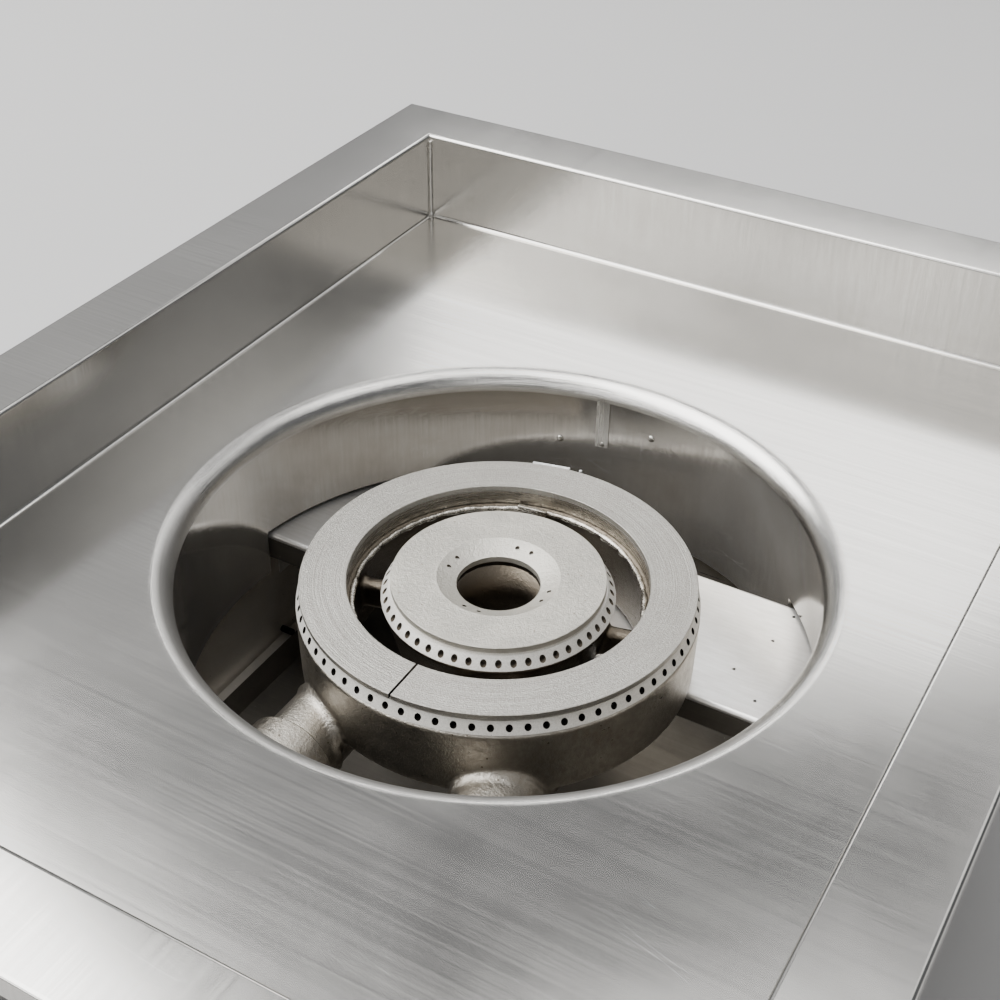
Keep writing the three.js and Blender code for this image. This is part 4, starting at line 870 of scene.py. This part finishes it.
# the burner casting: raw body, then the machined crowns with their ports
burner = {
    "ringOuter": 0.1156, "ringFoot": 0.1146, "ringInner": 0.0835, "ledge": 0.0015, "lap": 0.0002,
    "shoulder": 0.001, "innerStep": 0.004, "footEdge": 0.003, "bandTop": 0.1119,
    "bandFoot": 0.1153, "bandHeight": 0.0072, "crownInner": 0.0863, "cupInner": 0.03,
    "grooveIn": 0.0014, "grooveHigh": 0.0014, "capThick": 0.0035, "seat": 0.0003, "ports": 74,
    "portRadius": 0.00195, "portDeep": 0.004, "shadeDepth": 0.0003, "ringTurn": -0.28, "cupTurn": 0.15,
    "cupBandTop": 0.0625, "cupBandFoot": 0.0672, "cupPorts": 50, "cupRaw": 0.0668,
    "cupBottom": 0.0551, "cupSunk": 0.0015, "bore": 0.0241, "boreDown": 0.03, "stub": 0.0225,
    "stubX": 0.057, "stubZ": 0.122, "stubEnd": 0.138, "outerReach": 0.0819, "turnY": 0.075,
    "insideX": 0.0334, "insideY": 0.028, "spoke": 0.010, "spokeIn": 0.058, "spokeOut": 0.089,
    "spokeTop": 0.162, "spokeHigh": 0.018, "spokeEdge": 0.003, "spokeAngle": 13, "bead": 0.002,
    "beadOut": 0.0005, "voxel": 0.0015,
}
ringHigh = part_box("outer_ring_cap")[1]
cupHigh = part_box("inner_burner_cap")[1]
castFoot = max(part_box("burner_casting")[0].z, channelHigh.z + burner["seat"])
crownTop = ringHigh.z - burner["capThick"] - burner["seat"]
crownFoot = crownTop - burner["bandHeight"] - burner["grooveHigh"]
cupTop = cupHigh.z - burner["cupSunk"]
cupCrownTop = cupTop - burner["capThick"] - burner["seat"]


def makeCasting():
    b = burner
    top, ledge = crownFoot - b["lap"], crownFoot - b["ledge"]
    parts = [lathe("ring", [
        (b["ringInner"] + b["innerStep"], top), (b["bandFoot"] - b["shoulder"], top),
        (b["ringOuter"], ledge), (b["ringFoot"], castFoot + b["footEdge"]),
        (b["ringFoot"] - b["footEdge"], castFoot), (b["ringInner"], castFoot),
        (b["ringInner"], ledge - b["shoulder"])])]
    x, z, radius = b["stubX"], b["stubZ"], b["stub"]
    straight, turn = (-x, -b["outerReach"], z), (x, -b["turnY"], z)
    inside = (b["insideX"], -b["insideY"], z)
    parts.append(rodAt("stub", (-x, -b["stubEnd"], z), straight, radius, 48))
    parts.append(rodAt("stub", (x, -b["stubEnd"], z), turn, radius, 48))
    parts.append(rodAt("run", turn, inside, radius, 48))
    for spot in (straight, turn, inside):
        deselectAll()
        bpy.ops.mesh.primitive_uv_sphere_add(radius=radius, segments=48, ring_count=24)
        parts.append(newPiece("ball", place=spot))
    lean = math.asin(x / b["ringOuter"])
    for side in (-1, 1):
        # a bead of metal where each stub leaves the ring
        deselectAll()
        bpy.ops.mesh.primitive_torus_add(major_radius=radius, minor_radius=b["bead"],
                                         major_segments=48, minor_segments=10)
        parts.append(newPiece(
            "bead", scale=(1 / math.cos(lean), 1, 1), turn=(90, 0, side * math.degrees(lean)),
            place=(side * x, -b["ringOuter"] * math.cos(lean) - b["beadOut"], z)))
    parts.append(lathe("cup", [
        (0, top), (b["cupBandFoot"] - b["shoulder"], top), (b["cupRaw"], ledge),
        (b["cupBottom"], castFoot), (0, castFoot)], 72, closed=False))
    for quarter in range(4):
        spoke = blockAt("spoke", (b["spokeIn"], -b["spoke"] / 2, b["spokeTop"] - b["spokeHigh"]),
                        (b["spokeOut"], b["spoke"] / 2, b["spokeTop"]))
        softEdges(spoke, b["spokeEdge"], 3)
        parts.append(settle(spoke, turn=(0, 0, b["spokeAngle"] + 90 * quarter)))
    piece = join(parts, "casting_body")
    applyModifier(piece, "REMESH", mode="VOXEL", voxel_size=b["voxel"])
    applyModifier(piece, "SMOOTH", factor=0.5, iterations=6)
    cut(piece, rodAt("cutter", (0, 0, castFoot - b["boreDown"]), (0, 0, cupHigh.z), b["bore"], 72))
    activate(piece)
    bpy.ops.object.shade_smooth()
    return piece


def extrudeTo(rise, factor, height):
    # the loop in hand is extruded up by rise, then scaled about the Z axis at that height
    bpy.ops.mesh.extrude_edges_move(TRANSFORM_OT_translate={"value": (0, 0, rise)})
    bpy.ops.transform.resize(value=(factor, factor, 1), center_override=(0, 0, height))


def makeCrown(name, topRadius, footRadius, top, inner, ports, turn):
    # one port's share of the band is modelled and spun round, then closed at the back
    b = burner
    high, low = top - b["grooveHigh"], crownFoot
    height, share = high - low, math.radians(360 / ports)
    centre = Vector((0, -footRadius, (high + low) / 2))
    deselectAll()
    bpy.ops.mesh.primitive_plane_add(size=2)
    plate = bpy.context.active_object
    edit(plate)
    bpy.ops.mesh.delete(type="ONLY_FACE")
    bpy.ops.mesh.select_all(action="SELECT")
    bpy.ops.mesh.subdivide(number_cuts=3)
    leaveEdit()
    settle(plate, centre, (90, 0, 0), (math.tan(share / 2) * footRadius, height / 2, 1))
    deselectAll()
    bpy.ops.mesh.primitive_circle_add(vertices=16, radius=b["portRadius"])
    piece = join([plate, newPiece("hole", place=centre, turn=(90, 45, 0))], name)
    giveMaterials(piece, bandMetal, shadeBlackMetal)
    edit(piece, "SELECT", "EDGE")
    bpy.ops.mesh.bridge_edge_loops()
    pick(piece, "EDGE", lambda a, c: all(
        (point - centre).length < b["portRadius"] * 1.02 for point in (a, c)))
    bpy.ops.mesh.extrude_edges_move(TRANSFORM_OT_translate={"value": (0, b["portDeep"], 0)})
    bpy.ops.mesh.edge_face_add()
    # inside the ports the metal is painted near black: painted shade
    paintFaces(piece, 1, lambda centre, normal: centre.y > b["shadeDepth"] - footRadius)
    # the band leans in towards the top, so each row of points is pulled in by its height
    lean = (footRadius - topRadius) / height
    for vertex in piece.data.vertices:
        pulled = lean * (vertex.co.z - low)
        vertex.co.x *= (footRadius - pulled) / footRadius
        vertex.co.y += pulled
    edit(piece)
    bpy.ops.mesh.spin(steps=ports, dupli=True, angle=2 * math.pi, center=(0, 0, 0), axis=(0, 0, 1))
    bpy.ops.mesh.select_all(action="SELECT")
    bpy.ops.mesh.remove_doubles(threshold=2 * tiny)
    pick(piece, "EDGE", lambda a, c: min(a.z, c.z) > high - tiny)
    grooved = topRadius - b["grooveIn"]
    extrudeTo(0, grooved / topRadius, high)
    extrudeTo(b["grooveHigh"], 1, top)
    extrudeTo(0, inner / grooved, top)
    extrudeTo(low - top, 1, low)
    pick(piece, "EDGE", lambda a, c: max(a.z, c.z) < low + tiny)
    bpy.ops.mesh.bridge_edge_loops()
    leaveEdit()
    giveMaterials(piece, innerWallMetal)
    paintFaces(piece, 2, lambda centre, normal: centre.xy.length < inner + b["lap"])
    cleanUp(piece)
    settle(piece, turn=(0, 0, math.degrees(share * turn)))
    smooth(piece, 30)
    return piece


finishPiece(makeCasting(), "cast_metal", castMetal, "burner_casting")
outerCrown = makeCrown("outer_crown", burner["bandTop"], burner["bandFoot"], crownTop,
                       burner["crownInner"], burner["ports"], burner["ringTurn"])
innerCrown = makeCrown("inner_crown", burner["cupBandTop"], burner["cupBandFoot"], cupCrownTop,
                       burner["cupInner"], burner["cupPorts"], burner["cupTurn"])
for piece in (outerCrown, innerCrown):
    finishPiece(piece, "machined_cast", bandMetal)

# the rough bead of metal left where the ring's two halves of mould met, with its tab
flash = {
    "radius": 0.0836, "thick": 0.0016, "below": 0.0022, "rippleSize": 0.006, "ripple": 0.0026,
    "tabLong": 0.0185, "tabWide": 0.0026, "tabHigh": 0.0034, "tabX": -0.0213, "tabY": 0.0789,
    "tabTurn": 7, "tabEdge": 0.0003,
}
flashZ = crownFoot - flash["below"]
deselectAll()
bpy.ops.mesh.primitive_torus_add(major_radius=flash["radius"], minor_radius=flash["thick"],
                                 major_segments=360, minor_segments=10)
bead = newPiece("ring_flash", place=(0, 0, flashZ))
ripple = bpy.data.textures.new("flashRipple", "CLOUDS")
ripple.noise_scale = flash["rippleSize"]
applyModifier(bead, "DISPLACE", texture=ripple, strength=flash["ripple"], mid_level=0.5)
smooth(bead, 60)
tab = blockAt("ring_tab", (-flash["tabLong"] / 2, -flash["tabWide"] / 2, 0),
              (flash["tabLong"] / 2, flash["tabWide"] / 2, flash["tabHigh"]))
settle(tab, (flash["tabX"], flash["tabY"], flashZ), (0, 0, flash["tabTurn"]))
softEdges(tab, flash["tabEdge"])
for piece in (bead, tab):
    finishPiece(piece, "machined_cast", flashMetal)
print("casting made")

# the ring's cap with its slit and the cup's cap with its flame holes
caps = {
    "bevel": 0.0003, "slit": 0.0014, "countersink": 0.0353, "boreDrop": 0.0055,
    "cupShort": 0.0013, "cupWall": 0.004, "holeCircle": 0.0305, "holeRadius": 0.0013,
    "holeHalfAngle": 8.7, "reach": 0.01, "around": 192,
}


def makeRingCap():
    outer, inner, edge, reach = ringHigh.x, burner["crownInner"], caps["bevel"], caps["reach"]
    top, low = ringHigh.z, ringHigh.z - burner["capThick"]
    piece = lathe("ring_cap", [
        (inner, low), (inner, top - edge), (inner + edge, top), (outer - edge, top),
        (outer, top - edge), (outer, low + edge), (outer - edge, low)], caps["around"])
    giveMaterials(piece, turnedMetal)
    half = caps["slit"] / 2
    # the slit's cut faces are painted near black: painted shade
    cut(piece, blockAt("cutter", (-half, -outer - reach, low - reach),
                       (half, -inner + reach, top + reach)), shadeBlackMetal)
    smooth(piece, 30)
    return piece


def makeCupCap():
    outer, edge, thick = cupHigh.x - caps["cupShort"], caps["bevel"], burner["capThick"]
    boreTop, sink, bore = cupTop - caps["boreDrop"], caps["countersink"], burner["bore"]
    wall, reach = caps["cupWall"], caps["reach"]
    piece = lathe("cup_cap", [
        (bore, boreTop), (sink, cupTop), (outer - edge, cupTop), (outer, cupTop - edge),
        (outer, cupTop - thick), (sink + wall, cupTop - thick), (bore + wall, boreTop - thick),
        (bore, boreTop - thick)], caps["around"])
    giveMaterials(piece, blastedMetal)
    for quarter in range(4):
        for side in (-1, 1):
            angle = math.radians(90 * quarter + side * caps["holeHalfAngle"])
            x, y = caps["holeCircle"] * math.cos(angle), caps["holeCircle"] * math.sin(angle)
            # the holes' walls are painted near black: painted shade
            cut(piece, rodAt("cutter", (x, y, boreTop - reach), (x, y, cupTop + reach),
                             caps["holeRadius"], 16), shadeBlackMetal)
    smooth(piece, 18)
    return piece


finishPiece(makeRingCap(), "machined_cast", turnedMetal, "outer_ring_cap")
finishPiece(makeCupCap(), "machined_cast", blastedMetal, "inner_burner_cap")
print("caps made")

# the mixer tubes
mixer = {
    "radius": 0.0275, "socket": 0.0231, "bore": 0.018, "edge": 0.0012, "socketDeep": 0.013,
    "wall": 0.003, "tip": 0.0052,
}


def makeMixer(name, node):
    low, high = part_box(node)
    length, radius, edge, bore = high.y - low.y, mixer["radius"], mixer["edge"], mixer["bore"]
    deep, wall, tip = mixer["socketDeep"], mixer["wall"], mixer["tip"]
    piece = lathe(name, [
        (tip, length), (radius - edge, length), (radius, length - edge), (radius, edge),
        (radius - edge, 0), (mixer["socket"], 0), (mixer["socket"], deep), (bore, deep + wall),
        (bore, length - wall), (tip, length - wall)], 64)
    alongY(piece, frontCentre(node))
    smooth(piece)
    return piece


for side in ("outer", "inner"):
    sleeve = makeMixer(side + "_mixer_sleeve", side + "_mixer_tube")
    finishPiece(sleeve, "cast_metal", castMetal, side + "_mixer_tube")
print("mixer tubes made")

# the knobs: a skirt, a fluted body, a finger grip and a white pointer let into it
knob = {
    "skirt": 0.025, "skirtHigh": 0.006, "round": 0.0018, "body": 0.0198, "bodyIn": 0.0003,
    "bodyHigh": 0.012, "tip": 0.0178, "tipOut": 0.0004, "tipHigh": 0.022, "length": 0.028,
    "socket": 0.00415, "socketDeep": 0.016, "steps": 120, "flute": 0.965, "gripWide": 0.007,
    "gripHigh": 0.0037, "gripHalf": 0.0155, "gripSink": 0.004, "gripEdge": 0.0011,
    "pointerWide": 0.0016, "pointerLow": 0.003, "pointerHigh": 0.0148, "pointerProud": 0.0002,
    "pointerSink": 0.0005, "pointerEdge": 0.0001,
}


def makeKnob(side):
    centre = frontCentre(side + "_knob")
    skirt, edge, length, foot = knob["skirt"], knob["round"], knob["length"], knob["skirtHigh"]
    deep, body, tip = knob["socketDeep"], knob["body"], knob["tip"]
    piece = lathe(side + "_knob_body", [
        (knob["socket"], deep), (knob["socket"], 0.0), (skirt, 0.0),
        *arcPoints(skirt - edge, foot - edge, edge, 0, 90, 4),
        *arcPoints(body + edge, foot + edge, edge, -90, -180, 4),
        (body - knob["bodyIn"], knob["bodyHigh"]), (tip + knob["tipOut"], knob["tipHigh"]),
        *arcPoints(tip - edge, length - edge, edge, 0, 90, 5), (0.0, length), (0.0, deep)],
        knob["steps"])

    def onFlute(point):
        turn = round(math.degrees(math.atan2(point.y, point.x)) / 3) % 5
        between = foot + edge < point.z < length - edge / 2
        return between and point.xy.length > tip - edge and turn < 2

    pick(piece, "VERT", onFlute)
    bpy.ops.transform.resize(value=(knob["flute"], knob["flute"], 1), center_override=(0, 0, 0))
    leaveEdit()
    half, top = knob["gripWide"] / 2, length + knob["gripHigh"]
    grip = blockAt("grip", (-half, -knob["gripHalf"], length - knob["gripSink"]),
                   (half, knob["gripHalf"], top))
    softEdges(grip, knob["gripEdge"], 4)
    applyModifier(piece, "BOOLEAN", operation="UNION", solver="EXACT", object=grip)
    bpy.data.objects.remove(grip)
    smooth(alongY(piece, centre), 32)
    half = knob["pointerWide"] / 2
    pointer = blockAt(side + "_knob_pointer", (-half, knob["pointerLow"], top - knob["pointerSink"]),
                      (half, knob["pointerHigh"], top + knob["pointerProud"]))
    softEdges(pointer, knob["pointerEdge"])
    alongY(pointer, centre)
    finishPiece(piece, "black_plastic", blackPlastic, side + "_knob", body=side + "_turn")
    finishPiece(pointer, "black_plastic", whitePaint, body=side + "_turn")


# the bezels, with a mark at each step of the knob's 210 degrees and a longer one at its ends
bezel = {
    "radius": 0.028, "bore": 0.009, "thick": 0.002, "edge": 0.0006, "low": 0.0001,
    "markIn": 0.0253, "markOut": 0.0274, "markWide": 0.0005, "markSink": 0.0003,
    "endWide": 0.001, "step": 30, "turn": 210,
}


def makeBezel(side):
    centre = frontCentre(side + "_bezel")
    radius, edge, bore = bezel["radius"], bezel["edge"], bezel["bore"]
    thick = bezel["thick"] - bezel["low"]
    piece = lathe(side + "_bezel_ring", [
        (bore, 0), (radius, 0), *arcPoints(radius - edge, thick - edge, edge, 0, 90, 5),
        *arcPoints(bore + edge, thick - edge, edge, 90, 180, 3)], 128)
    marks = []
    for turn in range(0, bezel["turn"] + 1, bezel["step"]):
        half = (bezel["endWide"] if turn in (0, bezel["turn"]) else bezel["markWide"]) / 2
        mark = blockAt("mark", (-half, bezel["markIn"], thick - bezel["markSink"]),
                       (half, bezel["markOut"], bezel["thick"]))
        marks.append(settle(mark, turn=(0, 0, turn)))
    marks = alongY(join(marks, side + "_bezel_marks"), centre)
    smooth(alongY(piece, centre), 30)
    finishPiece(piece, "brushed_stainless", panelSheet, side + "_bezel")
    finishPiece(marks, "brushed_stainless", blackPlastic)


for side in ("outer", "inner"):
    makeKnob(side)
    makeBezel(side)
print("knobs and bezels made")

# pan-head screws with a cross recess and a thread, modelled once and copied to each place
screw = {
    "head": 0.004, "headHigh": 0.0022, "rim": 0.25, "shank": 0.002, "length": 0.008,
    "pitch": 0.0007, "thread": 0.0003, "plain": 0.001, "cross": 0.0046, "crossWide": 0.0009,
    "crossDeep": 0.0012, "clear": 0.001, "driven": 37,
}


def makeScrew():
    head, tall, shank, rim = screw["head"], screw["headHigh"], screw["shank"], screw["rim"]
    pitch, core, length = screw["pitch"], screw["shank"] - screw["thread"], screw["length"]
    outline = [(0.0, tall)]
    for degrees in range(15, 91, 15):
        turn = math.radians(degrees)
        outline.append((head * math.sin(turn), tall * (rim + (1 - rim) * math.cos(turn))))
    outline += [(head, 0.0), (shank, 0.0)]
    depth = screw["plain"]
    while depth < length - pitch:
        outline += [(shank, -depth), (core, -depth - pitch / 2)]
        depth += pitch
    piece = lathe("screw", outline + [(core, -length), (0.0, -length)], 32)
    low, high = tall - screw["crossDeep"], tall + screw["clear"]
    long, wide = screw["cross"] / 2, screw["crossWide"] / 2
    for x, y in ((long, wide), (wide, long)):
        cut(piece, blockAt("cutter", (-x, -y, low), (x, y, high)))
    smooth(piece)
    return piece


# each screw's head points this way, and its turn about its own axis is left as it was driven
screwWays = {
    "left_channel_screw": (-1, 0, 0), "right_channel_screw": (1, 0, 0),
    "left_panel_screw": (0, -1, 0), "right_panel_screw": (0, -1, 0),
    "left_rear_screw": (0, 1, 0), "right_rear_screw": (0, 1, 0),
}
pattern = makeScrew()
for i, name in enumerate(sorted(name for name in nodes if "_screw_" in name)):
    way = Vector(screwWays[name.rsplit("_", 1)[0]])
    low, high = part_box(name)
    half = sum(abs(w) * (b - a) / 2 for w, a, b in zip(way, low, high))
    twin = settle(copyOf(pattern, name + "_threaded"), turn=(0, 0, screw["driven"] * i))
    aim(twin, way, (low + high) / 2 + way * (half - screw["headHigh"]))
    finishPiece(twin, "plated_steel", platedSteel, name)
bpy.data.objects.remove(pattern)
print("screws made")

# the rest: each CAD form again, its flat faces whole, its edges softened and its round faces
# smooth; its material, slot, width of edge and angle
softened = [
    (boxSheet, "stainless_sheet", 0.00025, 35, [
        "left_side_panel", "right_side_panel", "rear_panel", "base_pan", "left_tray_runner",
        "right_tray_runner"]),
    # the drip tray gets the dark sheet: painted shade
    (paintedShadeSheet, "stainless_sheet", 0.0003, 35, ["drip_tray"]),
    (panelSheet, "brushed_stainless", 0.0005, 35, ["control_panel", "drip_tray_front"]),
    (brassMetal, "brass", 0.0003, 30, [
        "outer_gas_valve", "inner_gas_valve", "outer_orifice", "inner_orifice",
        "gas_inlet_fitting"]),
    (blackPlastic, "black_plastic", 0.0004, 35, ["igniter_housing", "igniter_button"]),
    (whiteCeramic, "glazed_ceramic", 0.0003, 40, ["igniter_ceramic"]),
    # the stop pins are painted near black: painted shade
    (shadeBlackMetal, "plated_steel", 0.0002, 50, ["left_stop_pin", "right_stop_pin"]),
    (platedSteel, "plated_steel", 0.0002, 50, [
        "outer_air_shutter", "inner_air_shutter", "outer_valve_stem", "inner_valve_stem",
        "outer_thrust_washer", "inner_thrust_washer", "gas_manifold", "left_pipe_saddle",
        "right_pipe_saddle", "igniter_nut", "igniter_bracket", "igniter_pin", "drip_tray_handle",
        "left_casting_bolt", "right_casting_bolt"]),
]
riders = {
    "drip_tray": "drip_drawer", "drip_tray_front": "drip_drawer",
    "drip_tray_handle": "drip_drawer", "outer_thrust_washer": "outer_push",
    "inner_thrust_washer": "inner_push", "outer_valve_stem": "outer_turn",
    "inner_valve_stem": "inner_turn", "igniter_button": "igniter_press",
    "outer_air_shutter": "outer_shutter", "inner_air_shutter": "inner_shutter",
}
soft = {"flat": 0.5, "rimDeep": 0.0006}  # degrees; faces this near the drip tray's top are its rim


def makeSoftCopy(node, width, angle):
    piece = copyOf(nodes[node], node + "_soft")
    cleanUp(piece)
    piece.data.materials.clear()
    edit(piece)
    bpy.ops.mesh.dissolve_limited(angle_limit=math.radians(soft["flat"]))
    leaveEdit()
    softEdges(piece, width, 2, angle)
    if node == "drip_tray":
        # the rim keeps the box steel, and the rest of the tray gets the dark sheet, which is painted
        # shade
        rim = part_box(node)[1].z - soft["rimDeep"]
        giveMaterials(piece, paintedShadeSheet, boxSheet)
        paintFaces(piece, 1, lambda centre, normal: centre.z > rim)
    smooth(piece, angle)
    return piece


for material, slot, width, angle, group in softened:
    for node in group:
        finishPiece(makeSoftCopy(node, width, angle), slot, material, node,
                    body=riders.get(node, "housing"))
print("softened pieces made")

# floor and light
studio = {
    "floorSize": 9.0, "floorTone": (0.4, 0.395, 0.39), "floorRough": 0.85, "floorLift": 1.02,
    "floorScale": 2.0, "sky": (0.8, 0.83, 0.88), "skyPower": 0.2, "middle": (0, 0, 0.2),
}
deselectAll()
bpy.ops.mesh.primitive_plane_add(size=studio["floorSize"], location=(0, 0, 0))
floor = bpy.context.active_object
floor.name = "studio_floor"
floorPaint, floorTree, floorShader, floorPlace = newMaterial("studioFloor", 0.0)
patches = useGroup(floorTree, mottle, floorPlace, Scale=studio["floorScale"], Low=0.35, High=0.65)
lighter = tuple(value * studio["floorLift"] for value in studio["floorTone"])
plug(floorTree, floorShader, "Base Color",
     blendColours(floorTree, patches, studio["floorTone"], lighter))
plug(floorTree, floorShader, "Roughness", studio["floorRough"])
giveMaterials(floor, floorPaint)

world = bpy.data.worlds.new("studio")
bpy.context.scene.world = world
world.use_nodes = True
plug(world.node_tree, world.node_tree.nodes["Background"], "Color", studio["sky"])
plug(world.node_tree, world.node_tree.nodes["Background"], "Strength", studio["skyPower"])

# each light's azimuth and height in degrees, its distance, shape, size and power; far off, so that
# all the steel sees it alike
lights = {
    "big_box": ((199, 49), 4.0, "DISK", (5.0, 5.0), 545),
    "top_box": ((75, 80), 3.4, "DISK", (2.8, 2.8), 72),
    "front_box": ((284, 34), 3.4, "RECTANGLE", (3.2, 1.3), 25),
    "front_fill": ((246, 19), 3.4, "RECTANGLE", (1.8, 1.1), 26),
    "back_box": ((107, 34), 3.8, "RECTANGLE", (2.0, 1.0), 25),
    "back_wide": ((122, 33), 4.2, "RECTANGLE", (3.4, 1.8), 8),
    "right_fill": ((66, 43), 3.4, "RECTANGLE", (1.6, 1.2), 8),
}
for name, (angles, far, shape, size, power) in lights.items():
    turn, rise = [math.radians(angle) for angle in angles]
    way = Vector((math.cos(rise) * math.cos(turn), math.cos(rise) * math.sin(turn), math.sin(rise)))
    bpy.ops.object.light_add(type="AREA", location=way * far + Vector(studio["middle"]))
    lamp = bpy.context.active_object
    lamp.name = name
    lamp.data.shape = shape
    lamp.data.size, lamp.data.size_y = size
    lamp.data.energy = power
    lamp.visible_camera = False
    lamp.rotation_euler = (-way).to_track_quat("-Z", "Y").to_euler()
print("studio set")
